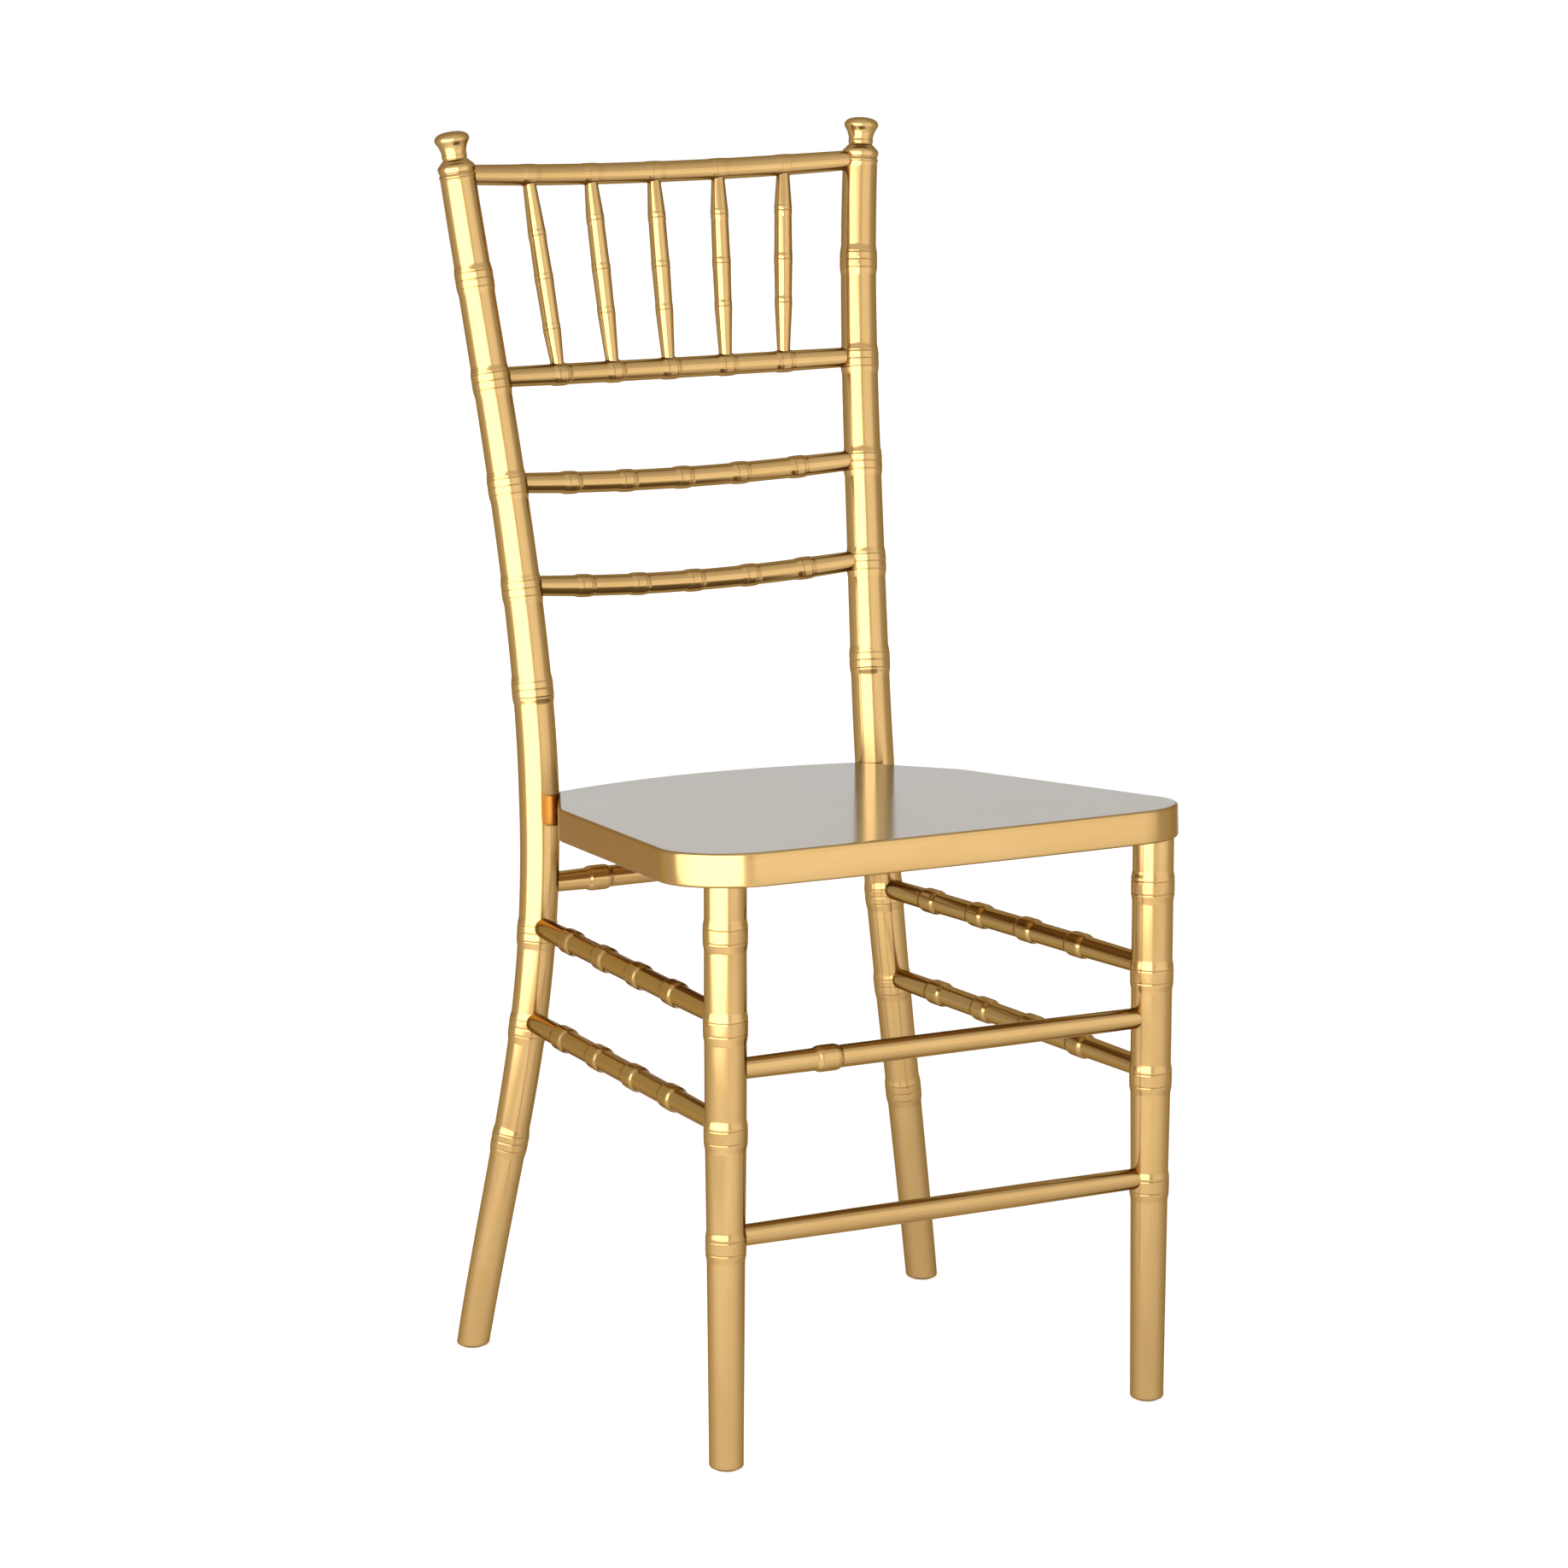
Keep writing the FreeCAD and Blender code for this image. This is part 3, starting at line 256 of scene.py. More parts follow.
def surface(name, grid, attributes=None, closed_rows=False):
    """A mesh of quads over a grid of points, in millimetres.

    Columns close round. The first and the last row close in a fan to their mean point, or the
    rows close round too. Rows run so that along-column x along-row points outwards.
    """
    rows, columns = grid.shape[:2]
    points = grid.reshape(-1, 3)
    index = np.arange(rows * columns).reshape(rows, columns)
    ahead = np.roll(index, -1, axis=1)
    if closed_rows:
        above, ahead_above = np.roll(index, -1, axis=0), np.roll(ahead, -1, axis=0)
        quads = np.stack([index, ahead, ahead_above, above], axis=-1).reshape(-1, 4)
        fans = np.empty((0, 3), int)
    else:
        quads = np.stack([index[:-1], ahead[:-1], ahead[1:], index[1:]], axis=-1).reshape(-1, 4)
        points = np.vstack([points, grid[0].mean(axis=0), grid[-1].mean(axis=0)])
        foot, top = np.full(columns, rows * columns), np.full(columns, rows * columns + 1)
        fans = np.vstack([np.column_stack([foot, ahead[0], index[0]]),
                          np.column_stack([top, index[-1], ahead[-1]])])
    mesh = bpy.data.meshes.new(name)
    mesh.vertices.add(len(points))
    mesh.vertices.foreach_set("co", (points * MM).astype(np.float32).ravel())
    corners = np.concatenate([quads.ravel(), fans.ravel()])
    starts = np.concatenate([np.arange(len(quads)) * 4, len(quads) * 4 + np.arange(len(fans)) * 3])
    mesh.loops.add(len(corners))
    mesh.loops.foreach_set("vertex_index", corners.astype(np.int32))
    mesh.polygons.add(len(starts))
    mesh.polygons.foreach_set("loop_start", starts.astype(np.int32))
    mesh.update(calc_edges=True)
    for key, values in (attributes or {}).items():
        flat = values.reshape(rows * columns, -1)
        ends = [values[0].reshape(columns, -1).mean(axis=0), values[-1].reshape(columns, -1).mean(axis=0)]
        if not closed_rows:
            flat = np.vstack([flat, *ends])
        kind = "FLOAT_VECTOR" if flat.shape[1] == 3 else "FLOAT"
        store = mesh.attributes.new(key, kind, "POINT")
        store.data.foreach_set("vector" if kind == "FLOAT_VECTOR" else "value",
                               flat.astype(np.float32).ravel())
    mesh.shade_smooth()
    mesh.set_sharp_from_angle(angle=math.radians(50))
    return mesh


def show(name, mesh, materials, slot, *nodes):
    """Put a finished mesh in the scene, in place of its CAD nodes."""
    for material in materials:
        mesh.materials.append(material)
    piece = bpy.data.objects.new(name, mesh)
    bpy.context.scene.collection.objects.link(piece)
    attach(piece, "root")
    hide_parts(*nodes)


def turning(name, axis, radii, lines, square, around=64, directions=None):
    """A round piece about an axis: point = axis + radius (cos(turn) a + sin(turn) b).

    a and b are square to the axis, and a lies nearest to the direction square. The attribute
    turned holds the straightened piece in millimetres, so that grain runs along it; line holds
    how deep in a turned line the surface lies.
    """
    if directions is None:
        directions = np.gradient(axis, axis=0)
    directions = directions / np.linalg.norm(directions, axis=1)[:, None]
    first = square - (directions @ square)[:, None] * directions
    first /= np.linalg.norm(first, axis=1)[:, None]
    second = np.cross(directions, first)
    turns = np.linspace(0, 2 * math.pi, around, endpoint=False)
    cosine, sine = np.cos(turns)[None, :, None], np.sin(turns)[None, :, None]
    spread = radii[:, None, None]
    grid = axis[:, None] + spread * (cosine * first[:, None] + sine * second[:, None])
    run = np.concatenate([[0], np.cumsum(np.linalg.norm(np.diff(axis, axis=0), axis=1))])
    straight = np.concatenate([spread * cosine, spread * sine,
                               np.broadcast_to(run[:, None, None], (len(run), around, 1))], axis=2)
    line = np.broadcast_to(lines[:, None], (len(run), around))
    return surface(name, grid, {"turned": straight, "line": line})


def gold_lacquer(name, base, shade, painted_edge_shade, roughness):
    """Gold lacquer sprayed on turned beech.

    Fine metal flakes lie flat in it. Its colour is pale gold seen square on and is mixed towards
    brown at a slant, painted shade at the edges in place of the dark surroundings that its gloss
    would mirror there. It is darker low on the legs, painted shade towards the floor. Grain 0.8 mm
    apart and 60 mm long shows faintly through it, clouds 14 mm wide and 45 mm long vary its gloss,
    and its turned lines are darkened brown, painted shade in their grooves.
    """
    material = bpy.data.materials.new(name)
    material.use_nodes = True
    tree = material.node_tree
    tree.nodes.clear()
    turned = add_node(tree, "ShaderNodeAttribute", attribute_name="turned")
    line = add_node(tree, "ShaderNodeAttribute", attribute_name="line")
    along = add_node(tree, "ShaderNodeMapping", {"Vector": turned.outputs["Vector"],
                                                 "Scale": (1 / 0.8, 1 / 0.8, 1 / 60)})
    grain = add_node(tree, "ShaderNodeTexNoise", {"Vector": along.outputs[0], "Scale": 1.0,
                                                  "Detail": 3.0, "Roughness": 0.6})
    patches = add_node(tree, "ShaderNodeMapping", {"Vector": turned.outputs["Vector"],
                                                   "Scale": (1 / 14, 1 / 14, 1 / 45)})
    cloud = add_node(tree, "ShaderNodeTexNoise", {"Vector": patches.outputs[0], "Scale": 1.0,
                                                  "Detail": 2.0, "Roughness": 0.5})
    spot = add_node(tree, "ShaderNodeTexCoord")
    height = add_node(tree, "ShaderNodeSeparateXYZ", {0: spot.outputs["Object"]})
    # Painted shade: the colour is darker towards the floor, by 18 % at 0.06 m, fading out by 0.30 m.
    painted_low_shade = add_node(tree, "ShaderNodeMapRange", {"Value": height.outputs["Z"], "From Min": 0.06,
                                                "From Max": 0.30, "To Min": 0.82, "To Max": 1.0})
    tone = add_node(tree, "ShaderNodeMix", {0: cloud.outputs["Fac"], 6: linear(shade), 7: linear(base)},
                    data_type="RGBA")
    streak = add_node(tree, "ShaderNodeMapRange", {"Value": grain.outputs["Fac"], "From Min": 0.3,
                                                   "From Max": 0.7, "To Min": 0.965, "To Max": 1.0})
    # Grain streaks times the painted shade low on the legs.
    grain_and_painted_low_shade = add_node(tree, "ShaderNodeMath", {0: streak.outputs[0], 1: painted_low_shade.outputs[0]},
                    operation="MULTIPLY")
    grained = add_node(tree, "ShaderNodeMix", {0: 1.0, 6: tone.outputs[2], 7: grain_and_painted_low_shade.outputs[0]},
                       data_type="RGBA", blend_type="MULTIPLY")
    # Painted shade: the colour is darkened brown in the turned lines, where shade falls in the grooves.
    depth = add_node(tree, "ShaderNodeMath", {0: line.outputs["Fac"], 1: 0.6}, operation="MULTIPLY")
    groove_shaded = add_node(tree, "ShaderNodeMix", {0: depth.outputs[0], 6: grained.outputs[2],
                                              7: linear("#6e4319")}, data_type="RGBA")
    # Painted shade: the colour is mixed towards a brown as the surface turns away from the view, darkening
    # the edges.
    facing = add_node(tree, "ShaderNodeLayerWeight", {"Blend": 0.5})
    edge_shade_share = add_node(tree, "ShaderNodeMapRange", {"Value": facing.outputs["Facing"], "From Min": 0.07,
                                                 "From Max": 0.42}, interpolation_type="SMOOTHSTEP")
    edge_shaded = add_node(tree, "ShaderNodeMix", {0: edge_shade_share.outputs[0], 6: groove_shaded.outputs[2],
                                             7: linear(painted_edge_shade)}, data_type="RGBA")
    rough = add_node(tree, "ShaderNodeMapRange", {"Value": cloud.outputs["Fac"], "To Min": roughness - 0.03,
                                                  "To Max": roughness + 0.04})
    bump = add_node(tree, "ShaderNodeBump", {"Strength": 0.03, "Distance": 0.0002,
                                             "Height": grain.outputs["Fac"]})
    shader = add_node(tree, "ShaderNodeBsdfPrincipled", {
        "Base Color": edge_shaded.outputs[2], "Metallic": 0.95, "Roughness": rough.outputs[0],
        "Specular Tint": linear("#b09a68"), "Coat Weight": 0.15, "Coat Roughness": 0.08,
        "Normal": bump.outputs[0]})
    add_node(tree, "ShaderNodeOutputMaterial", {"Surface": shader.outputs[0]})
    return material


LACQUER = gold_lacquer("gold_lacquer_on_turned_beech", base="#cba870", shade="#c19b60",
                       painted_edge_shade="#9a7a4a", roughness=0.18)

for side, side_name in ((-1, "left"), (1, "right")):
    heights = finely(FOOT_LEVEL, POST_TOP - FINIAL[-1][0], 4.0, POST_NODE_HEIGHTS, 14.0, 0.4)
    rounding = FOOT_LEVEL + FOOT_ROUNDING * (1 - np.cos(np.linspace(0, math.pi / 2, 7)))
    heights = np.unique(np.concatenate([rounding, heights]))
    relief, lines = bamboo(heights, POST_NODE_HEIGHTS, band=10.0, swell=7.0, rise=0.9,
                           lines=(-5.6, 0.4, 6.0), depth=0.22)
    lift = np.clip(1 - (heights - FOOT_LEVEL) / FOOT_ROUNDING, 0, 1)
    radii = (np.interp(heights, POST_RADIUS_HEIGHTS, POST_RADII) + relief
             - FOOT_ROUNDING * (1 - np.sqrt(1 - lift ** 2)))
    drops, finial_radii = np.array(FINIAL[::-1]).T
    run = np.concatenate([[0], np.cumsum(np.hypot(np.diff(drops), np.diff(finial_radii)))])
    outline = spline(run, np.column_stack([POST_TOP - drops, finial_radii]), np.linspace(0, run[-1], 150))
    outline = outline[1:-1]
    finial_heights, finial_radii = np.clip(outline[:, 0], 0, POST_TOP), np.abs(outline[:, 1])
    finial_lines = sum(painted_line_shade * np.exp(-((finial_heights - (POST_TOP - drop)) / width) ** 2)
                       for drop, painted_line_shade, width in FINIAL_LINES)
    heights = np.concatenate([heights, finial_heights])
    radii = np.concatenate([radii, finial_radii])
    lines = np.concatenate([lines, finial_lines])
    axis = post_axis(side, heights)
    bend = np.gradient(post_axis(side, np.arange(0, POST_TOP)), axis=0)
    bend /= np.linalg.norm(bend, axis=1)[:, None]
    tilt = np.stack([np.interp(heights, np.arange(0, POST_TOP), bend[:, k]) for k in range(3)], axis=1)
    level = smooth_step((heights - FOOT_LEVEL - FOOT_ROUNDING) / FOOT_EASING)[:, None]
    tilt = tilt * level + np.array([0, 0, 1]) * (1 - level)
    name = "rear_post_" + side_name
    mesh = turning(name + "_turned", axis, radii, lines, np.array([0.0, 1.0, 0.0]), 72, tilt)
    show(name + "_turned", mesh, [LACQUER], "gilded_wood", name)

# Front legs
# Straight beech turnings with four nodes. A tenon goes up into the seat's frame, out of sight.

LEG_X = 175.5
LEG_Y = -211.7
LEG_NODE_HEIGHTS = [162.5, 242.5, 319.5, 385.0]
LEG_RADIUS_HEIGHTS = [0, 162.5, 242.5, 319.5, 445.0]
LEG_RADII = [12.3, 13.6, 14.7, 15.0, 15.0]
LEG_TOP = 421.0

for side, side_name in ((-1, "left"), (1, "right")):
    heights = finely(FOOT_LEVEL, LEG_TOP, 4.0, LEG_NODE_HEIGHTS, 14.0, 0.4)
    rounding = FOOT_LEVEL + FOOT_ROUNDING * (1 - np.cos(np.linspace(0, math.pi / 2, 7)))
    heights = np.unique(np.concatenate([rounding, heights]))
    relief, lines = bamboo(heights, LEG_NODE_HEIGHTS, band=10.0, swell=7.0, rise=0.9,
                           lines=(-4.8, 4.8), depth=0.3)
    lift = np.clip(1 - (heights - FOOT_LEVEL) / FOOT_ROUNDING, 0, 1)
    radii = (np.interp(heights, LEG_RADIUS_HEIGHTS, LEG_RADII) + relief
             - FOOT_ROUNDING * (1 - np.sqrt(1 - lift ** 2)))
    axis = np.column_stack([np.full_like(heights, side * LEG_X), np.full_like(heights, LEG_Y), heights])
    name = "front_leg_" + side_name
    mesh = turning(name + "_turned", axis, radii, lines, np.array([0.0, 1.0, 0.0]), 72)
    show(name + "_turned", mesh, [LACQUER], "gilded_wood", name)

# Back rails
# Four thin turnings, steamed and bowed back, with tenons glued into the posts. The one under the
# spindles has a node at each spindle, faint on the crest rail, and the ladder rails have five.

RAILS = {
    # height at the posts, backward bow, droop, share of the length from node to node, node rise
    "crest_rail": (882.0, 15.5, 4.8, 0.158, 0.35),
    "spindle_rail": (732.3, 15.4, 2.3, 0.152, 0.8),
    "upper_ladder_rail": (654.8, 10.2, 6.2, 0.16, 0.8),
    "lower_ladder_rail": (579.0, 5.8, 7.2, 0.16, 0.8),
}
RAIL_END_RADIUS = 7.6
RAIL_MIDDLE_RADIUS = 8.0
HOUSING = 1.4


def arc(start, middle, end, shares):
    """Points on the circle through three points, at shares of the way round from start to end.

    With chord c, sagitta s and radius R = (c^2 / 4 + s^2) / 2 s, the arc turns through
    2 asin(c / 2R), and a point lies at R (sin(a) along + (cos(a) - cos(half turn)) outwards).
    """
    chord = end - start
    centre_line = middle - (start + end) / 2
    length, sagitta = np.linalg.norm(chord), np.linalg.norm(centre_line)
    radius = (length ** 2 / 4 + sagitta ** 2) / (2 * sagitta)
    half = math.asin(length / 2 / radius)
    angles = (2 * np.asarray(shares) - 1)[:, None] * half
    return ((start + end) / 2 + radius * (np.sin(angles) * chord / length
            + (np.cos(angles) - math.cos(half)) * centre_line / sagitta))


def rail_line(rail, shares):
    """Points on a rail's bowed axis."""
    height, bow, droop, pitch, rise = RAILS[rail]
    start, end = (post_axis(side, np.array([height]))[0] for side in (-1, 1))
    return arc(start, (start + end) / 2 + np.array([0, bow, -droop]), end, shares)


def seated(carrier_radius, radius, housing):
    """How far from its carrier's axis a round member's shoulder lies."""
    return math.sqrt(carrier_radius ** 2 - radius ** 2) - housing


for rail, (height, bow, droop, pitch, rise) in RAILS.items():
    ends = rail_line(rail, np.linspace(0, 1, 200))
    length = np.linalg.norm(np.diff(ends, axis=0), axis=1).sum()
    carrier = np.interp(height, POST_RADIUS_HEIGHTS, POST_RADII)
    near = seated(carrier, RAIL_END_RADIUS, HOUSING)
    centres = length * (0.5 + pitch * np.arange(-2, 3))
    places = finely(near, length - near, 4.0, centres, 10.0, 0.35)
    relief, lines = bamboo(places, centres, band=7.0, swell=5.0, rise=rise, lines=(-3.6, 3.8),
                           depth=0.3 * rise)
    lines = lines * rise
    radii = relief + np.interp(places, [near, centres[0] - 8.5, centres[-1] + 8.5, length - near],
                               [RAIL_END_RADIUS, RAIL_MIDDLE_RADIUS, RAIL_MIDDLE_RADIUS, RAIL_END_RADIUS])
    axis = rail_line(rail, places / length)
    mesh = turning(rail + "_bowed", axis, radii, lines, np.array([0.0, 0.0, 1.0]), 48)
    show(rail + "_bowed", mesh, [LACQUER], "gilded_wood", rail)

# Spindles
# Five short turnings between the crest rail and the rail below, fullest at their middle node,
# glued in at both ends. The leftmost one was set in upside down.

SPINDLE_NODE_SHARES = [0.30, 0.52, 0.77]
SPINDLE_RADII = [6.6, 7.0, 6.6]
SPINDLE_END_RADIUS = 4.9

for number in range(1, 6):
    start, end = (rail_line(rail, np.array([0.5 + (number - 3) * RAILS[rail][3]]))[0]
                  for rail in ("spindle_rail", "crest_rail"))
    length = np.linalg.norm(end - start)
    near = seated(RAIL_MIDDLE_RADIUS, SPINDLE_END_RADIUS, 0.9)
    centres = length * np.array(SPINDLE_NODE_SHARES)
    if number == 1:
        centres = length - centres[::-1]
    places = finely(near, length - near, 4.0, centres, 7.0, 0.3)
    relief, lines = bamboo(places, centres, band=4.0, swell=3.0, rise=0.25, lines=(0.0,),
                           depth=0.15, width=0.4)
    stations = [near, *(centre + offset for centre in centres for offset in (-5.0, 5.0)), length - near]
    station_radii = [SPINDLE_END_RADIUS, *np.repeat(SPINDLE_RADII, 2), SPINDLE_END_RADIUS]
    radii = np.interp(places, stations, station_radii) + relief
    axis = start + np.outer(places / length, end - start)
    name = "spindle_%d" % number
    mesh = turning(name + "_turned", axis, radii, lines, np.array([0.0, 1.0, 0.0]), 40)
    show(name + "_turned", mesh, [LACQUER], "gilded_wood", name)

# Stretchers
# Straight turnings glued into the legs and the posts. The side ones have four strong knuckles,
# the upper front one and the rear one have one each, and the lower front one is plain.

STRETCHER_END_RADIUS = 7.6
STRETCHER_MIDDLE_RADIUS = 8.1
STRETCHER_HOUSING = 0.9
KNUCKLE_SHARES = 0.255 + 0.183 * np.arange(4)


def leg_spot(side, height):
    """A point on a front leg's axis, and the leg's radius there."""
    return np.array([side * LEG_X, LEG_Y, height]), np.interp(height, LEG_RADIUS_HEIGHTS, LEG_RADII)


def post_spot(side, height):
    """A point on a post's axis, and the post's radius there."""
    return post_axis(side, np.array([height]))[0], np.interp(height, POST_RADIUS_HEIGHTS, POST_RADII)


STRETCHERS = {
    # from, to, shares of the length at which its knuckles stand
    "left_stretcher_upper": (leg_spot(-1, 325.0), post_spot(-1, 325.0), KNUCKLE_SHARES),
    "right_stretcher_upper": (leg_spot(1, 325.0), post_spot(1, 325.0), KNUCKLE_SHARES),
    "left_stretcher_lower": (leg_spot(-1, 248.0), post_spot(-1, 253.2), KNUCKLE_SHARES),
    "right_stretcher_lower": (leg_spot(1, 248.0), post_spot(1, 253.2), KNUCKLE_SHARES),
    "front_stretcher_upper": (leg_spot(-1, 288.0), leg_spot(1, 288.0), [0.229]),
    "front_stretcher_lower": (leg_spot(-1, 168.0), leg_spot(1, 168.0), []),
    "rear_stretcher": (post_spot(-1, 356.5), post_spot(1, 356.5), [0.165]),
}

for name, ((start, start_radius), (end, end_radius), shares) in STRETCHERS.items():
    length = np.linalg.norm(end - start)
    near = seated(start_radius, STRETCHER_END_RADIUS, STRETCHER_HOUSING)
    far = length - seated(end_radius, STRETCHER_END_RADIUS, STRETCHER_HOUSING)
    centres = length * np.array(shares)
    places = finely(near, far, 4.0, centres, 14.0, 0.35)
    relief, lines = bamboo(places, centres, band=12.0, swell=5.0, rise=1.5, lines=(-6.4, 6.4), depth=0.2)
    lines = lines * 0.5
    full = [centres[0] - 11.0 if len(centres) else 0.3 * length,
            centres[-1] + 11.0 if len(centres) == len(KNUCKLE_SHARES) else 0.7 * length]
    radii = relief + np.interp(places, [near, *full, far],
                               [STRETCHER_END_RADIUS, STRETCHER_MIDDLE_RADIUS,
                                STRETCHER_MIDDLE_RADIUS, STRETCHER_END_RADIUS])
    axis = start + np.outer(places / length, end - start)
    mesh = turning(name + "_turned", axis, radii, lines, np.array([0.0, 0.0, 1.0]), 56)
    show(name + "_turned", mesh, [LACQUER], "gilded_wood", name)

# Seat
# A thin board glued on a thick ring, both sawn to one outline and tipped 3.2 degrees back. Their
# edge is lacquered gold as the rest; the flat top has a smooth lacquer, its grey-beige colour a
# painted reflection of grey surroundings.

SEAT_FRONT_Y = -237.6
SEAT_FRONT_HEIGHT = 445.0
SEAT_PITCH = math.radians(3.2)
# Half width, length from the front, corner radius: from the front corner to the back corner.
SEAT_CORNERS = [(216.0, 5.0, 54.0), (172.0, 292.0, 40.0), (127.5, 380.0, 3.0)]
FRONT_CROWN = 5.0
FRONT_CROWN_REACH = 60.0
BACK_CROWN = 25.0
TOP_THICKNESS = 8.0
FRAME_THICKNESS = 16.0
EDGE_ROUNDING = 2.0
OPENING_CORNERS = [(158.0, 53.0, 3.0), (110.0, 338.0, 3.0)]
SEAT_MIDDLE = np.array([0.0, 195.0])
OPENING_MIDDLE = 200.0
OUTLINE_STEP = 4.0


def rounded(corners, steps):
    """An even-sided outline with round corners, counterclockwise seen from above.

    A corner of radius r between unit directions u and v is the arc that starts r tan(t / 2)
    before it, where t is the turn from u to v. Long sides are divided evenly.
    """
    loop = np.array(corners + [(-x, y, r) for x, y, r in corners[::-1]])
    points = []
    for place in range(len(loop)):
        corner, radius = loop[place][:2], loop[place][2]
        before = corner - loop[place - 1][:2]
        after = loop[(place + 1) % len(loop)][:2] - corner
        before /= np.linalg.norm(before)
        after /= np.linalg.norm(after)
        turn = math.atan2(before[0] * after[1] - before[1] * after[0], before @ after)
        inwards = np.array([-before[1], before[0]])
        centre = corner - before * radius * math.tan(turn / 2) + inwards * radius
        angles = np.linspace(0, turn, steps)[:, None]
        points.append(centre + radius * (np.sin(angles) * before - np.cos(angles) * inwards))
    points = np.vstack(points)
    onward = np.roll(points, -1, axis=0)
    gaps = np.linalg.norm(onward - points, axis=1)
    runs = [points[k] + np.linspace(0, 1, max(1, int(gap / OUTLINE_STEP)), endpoint=False)[:, None]
            * (onward[k] - points[k]) for k, gap in enumerate(gaps)]
    return np.vstack(runs)


def seat_place(flat, depth):
    """Points of the seat's own plan, at a depth under its top, in the chair's frame."""
    x, length = flat[..., 0], flat[..., 1]
    return np.stack([x, SEAT_FRONT_Y + length * math.cos(SEAT_PITCH) - depth * math.sin(SEAT_PITCH),
                     SEAT_FRONT_HEIGHT - length * math.sin(SEAT_PITCH) - depth * math.cos(SEAT_PITCH)],
                    axis=-1)


def seat_outline():
    """The seat's plan: round corners, with the front and the back edge crowned by parabolas."""
    plan = rounded(SEAT_CORNERS, 24)
    x, length = plan.T
    near_front = smooth_step((FRONT_CROWN_REACH - length) / FRONT_CROWN_REACH)
    front = near_front * FRONT_CROWN * (1 - (x / SEAT_CORNERS[0][0]) ** 2)
    on_back = length >= SEAT_CORNERS[2][1] - 0.5
    back = np.where(on_back, BACK_CROWN * (1 - (x / SEAT_CORNERS[2][0]) ** 2), 0)
    return np.column_stack([x, length - front + np.clip(back, 0, None)])


def outwards(plan):
    """The outward normals of a counterclockwise outline."""
    along = np.roll(plan, -1, axis=0) - np.roll(plan, 1, axis=0)
    along /= np.linalg.norm(along, axis=1)[:, None]
    return np.column_stack([along[:, 1], -along[:, 0]])


def seat_lacquer():
    """Smooth lacquer, flatted and polished on a flat board.

    Its grey-beige colour is a painted reflection of grey surroundings. It is a close gloss that
    mirrors the posts behind it, a little softly. Broad clouds 90 mm wide vary its tone and its gloss.
    """
    material = bpy.data.materials.new("lacquer_with_painted_grey_reflection")
    material.use_nodes = True
    tree = material.node_tree
    tree.nodes.clear()
    spot = add_node(tree, "ShaderNodeTexCoord").outputs["Object"]
    clouds = add_node(tree, "ShaderNodeTexNoise", {"Vector": spot, "Scale": 1 / 0.09, "Detail": 2.0})
    # Painted reflection: these grey-beige tones stand for grey surroundings mirrored in the top.
    tone = add_node(tree, "ShaderNodeMix", {0: clouds.outputs["Fac"], 6: linear("#7b6a4a"),
                                            7: linear("#877554")}, data_type="RGBA")
    rough = add_node(tree, "ShaderNodeMapRange", {"Value": clouds.outputs["Fac"], "To Min": 0.11,
                                                  "To Max": 0.18})
    shader = add_node(tree, "ShaderNodeBsdfPrincipled", {
        "Base Color": tone.outputs[2], "Roughness": rough.outputs[0], "Specular IOR Level": 0.34})
    add_node(tree, "ShaderNodeOutputMaterial", {"Surface": shader.outputs[0]})
    return material


plan = seat_outline()
normals = outwards(plan)
bends = np.linspace(0, math.pi / 2, 7)
rim = [(0.0, TOP_THICKNESS), (0.0, 5.0)]
rim += [(EDGE_ROUNDING * (1 - math.cos(bend)), EDGE_ROUNDING * (1 - math.sin(bend))) for bend in bends]
rows = [(plan - normals * inset, depth) for inset, depth in rim]
rows += [(SEAT_MIDDLE + (plan - normals * EDGE_ROUNDING - SEAT_MIDDLE) * share, 0.0)
         for share in (0.98, 0.94, 0.85, 0.65, 0.4, 0.15)]
grid = np.stack([seat_place(outline, depth) for outline, depth in rows])
flat = np.stack([np.column_stack([outline, np.full(len(plan), depth)]) for outline, depth in rows])
mesh = surface("seat_top_board", grid, {"turned": flat[..., [1, 2, 0]], "line": np.zeros(grid.shape[:2])})
# Faces of the flat top, which get the painted grey reflection.
painted_reflection_faces = np.zeros(len(mesh.polygons), np.int32)
painted_reflection_faces[(len(rim) - 1) * len(plan):(len(rows) - 1) * len(plan)] = 1
painted_reflection_faces[-len(plan):] = 1
show("seat_top_board", mesh, [LACQUER, seat_lacquer()], "seat_lacquer", "seat_top")
mesh.polygons.foreach_set("material_index", painted_reflection_faces)

opening = rounded(OPENING_CORNERS, 6)
spin = np.arctan2(plan[:, 1] - OPENING_MIDDLE, plan[:, 0])
inner_spin = np.arctan2(opening[:, 1] - OPENING_MIDDLE, opening[:, 0])
order = np.argsort(inner_spin)
inner = np.column_stack([np.interp(spin, inner_spin[order], opening[order, k], period=2 * math.pi)
                         for k in range(2)])
bottom = TOP_THICKNESS + FRAME_THICKNESS
rows = [(plan, TOP_THICKNESS)]
rows += [(plan - normals * EDGE_ROUNDING * (1 - math.cos(bend)),
          bottom - EDGE_ROUNDING * (1 - math.sin(bend))) for bend in bends]
rows += [(SEAT_MIDDLE + (plan - normals * EDGE_ROUNDING - SEAT_MIDDLE) * 0.97, bottom),
         (inner, bottom), (inner, TOP_THICKNESS)]
grid = np.stack([seat_place(outline, depth) for outline, depth in rows[::-1]])
flat = np.stack([np.column_stack([outline, np.full(len(plan), depth)]) for outline, depth in rows[::-1]])
mesh = surface("seat_frame_ring", grid, {"turned": flat[..., [1, 2, 0]], "line": np.zeros(grid.shape[:2])},
               closed_rows=True)
show("seat_frame_ring", mesh, [LACQUER], "gilded_wood", "seat_frame")

# Blocks, fasteners and glides
# Sawn beech blocks are glued and screwed into the ring's corners, zinc-plated bolts hold the
# posts to it, and nylon glides are pressed into the feet. They keep their CAD shapes.


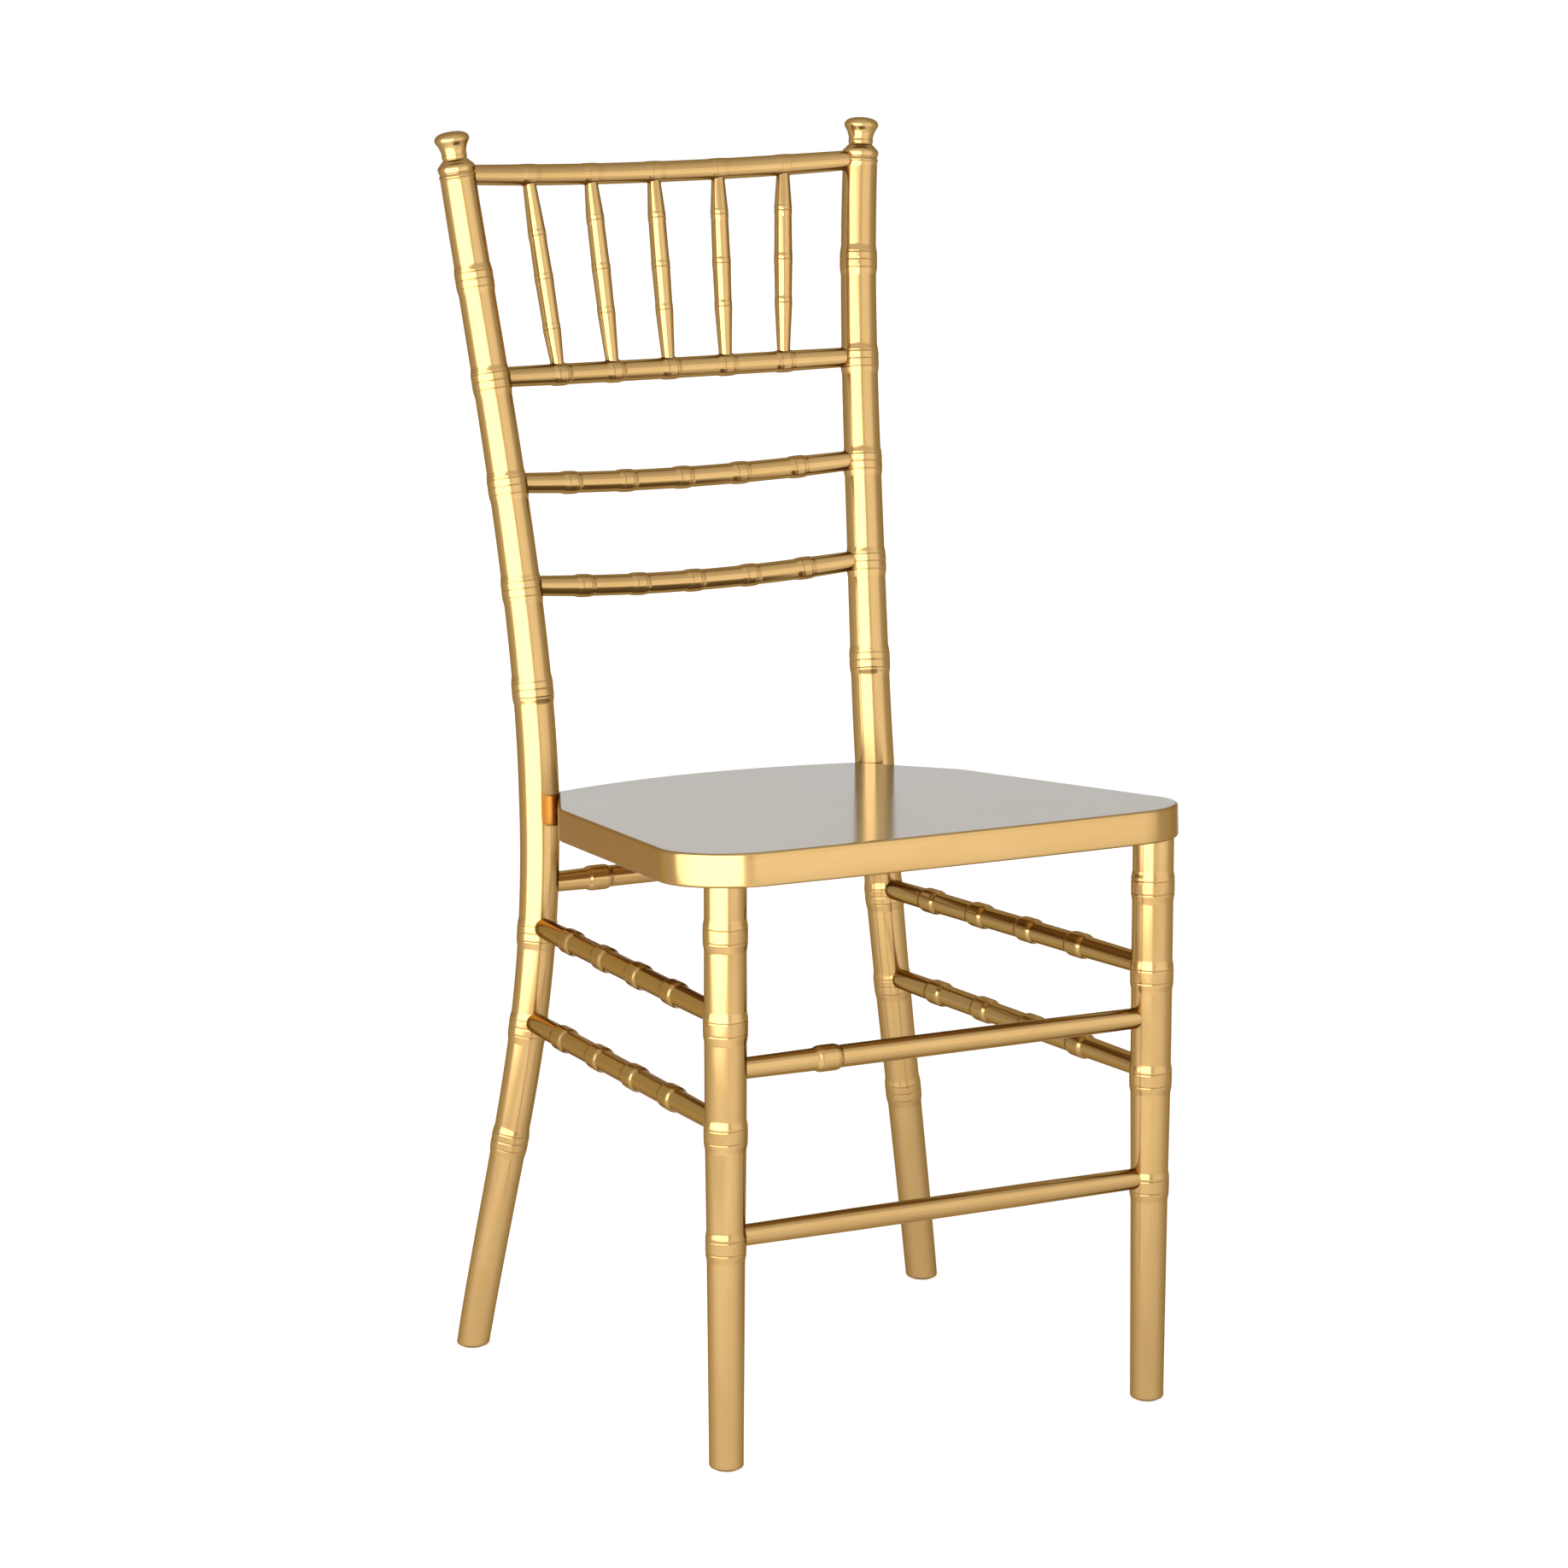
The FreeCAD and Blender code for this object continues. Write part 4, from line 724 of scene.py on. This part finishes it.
def plain_finish(name, light, dark, grain, rough, metallic, bump):
    """A finish whose tone, gloss and relief follow one noise of a real size in millimetres."""
    material = bpy.data.materials.new(name)
    material.use_nodes = True
    tree = material.node_tree
    tree.nodes.clear()
    spot = add_node(tree, "ShaderNodeTexCoord").outputs["Object"]
    scaled = add_node(tree, "ShaderNodeMapping", {"Vector": spot, "Scale": [1 / (MM * g) for g in grain]})
    noise = add_node(tree, "ShaderNodeTexNoise", {"Vector": scaled.outputs[0], "Scale": 1.0, "Detail": 4.0})
    tone = add_node(tree, "ShaderNodeMix", {0: noise.outputs["Fac"], 6: linear(dark), 7: linear(light)},
                    data_type="RGBA")
    gloss = add_node(tree, "ShaderNodeMapRange", {"Value": noise.outputs["Fac"], "To Min": rough - 0.08,
                                                  "To Max": rough + 0.08})
    relief = add_node(tree, "ShaderNodeBump", {"Strength": bump, "Distance": 0.0003,
                                               "Height": noise.outputs["Fac"]})
    shader = add_node(tree, "ShaderNodeBsdfPrincipled", {
        "Base Color": tone.outputs[2], "Metallic": metallic, "Roughness": gloss.outputs[0],
        "Normal": relief.outputs[0]})
    add_node(tree, "ShaderNodeOutputMaterial", {"Surface": shader.outputs[0]})
    return material


# Bare beech off the saw: pale, with short dark flecks and no gloss.
BEECH = plain_finish("bare_sawn_beech", "#c9a274", "#a67c4e", (18, 1.2, 1.2), 0.7, 0.0, 0.4)
# Zinc plating: a cool grey metal, slightly blotched.
ZINC = plain_finish("zinc_plated_steel", "#c4c6c8", "#9a9da1", (1.5, 1.5, 1.5), 0.34, 1.0, 0.1)
# Moulded nylon: tan, matt, with a faint moulding texture.
NYLON = plain_finish("moulded_tan_nylon", "#9c8058", "#8d7350", (0.8, 0.8, 0.8), 0.5, 0.0, 0.15)

for name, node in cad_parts.items():
    for start, finish in (("corner_block", BEECH), ("block_screws", ZINC), ("post_bolt", ZINC),
                          ("glide", NYLON)):
        if name.startswith(start):
            for place in node.material_slots:
                place.link = "OBJECT"
                place.material = finish
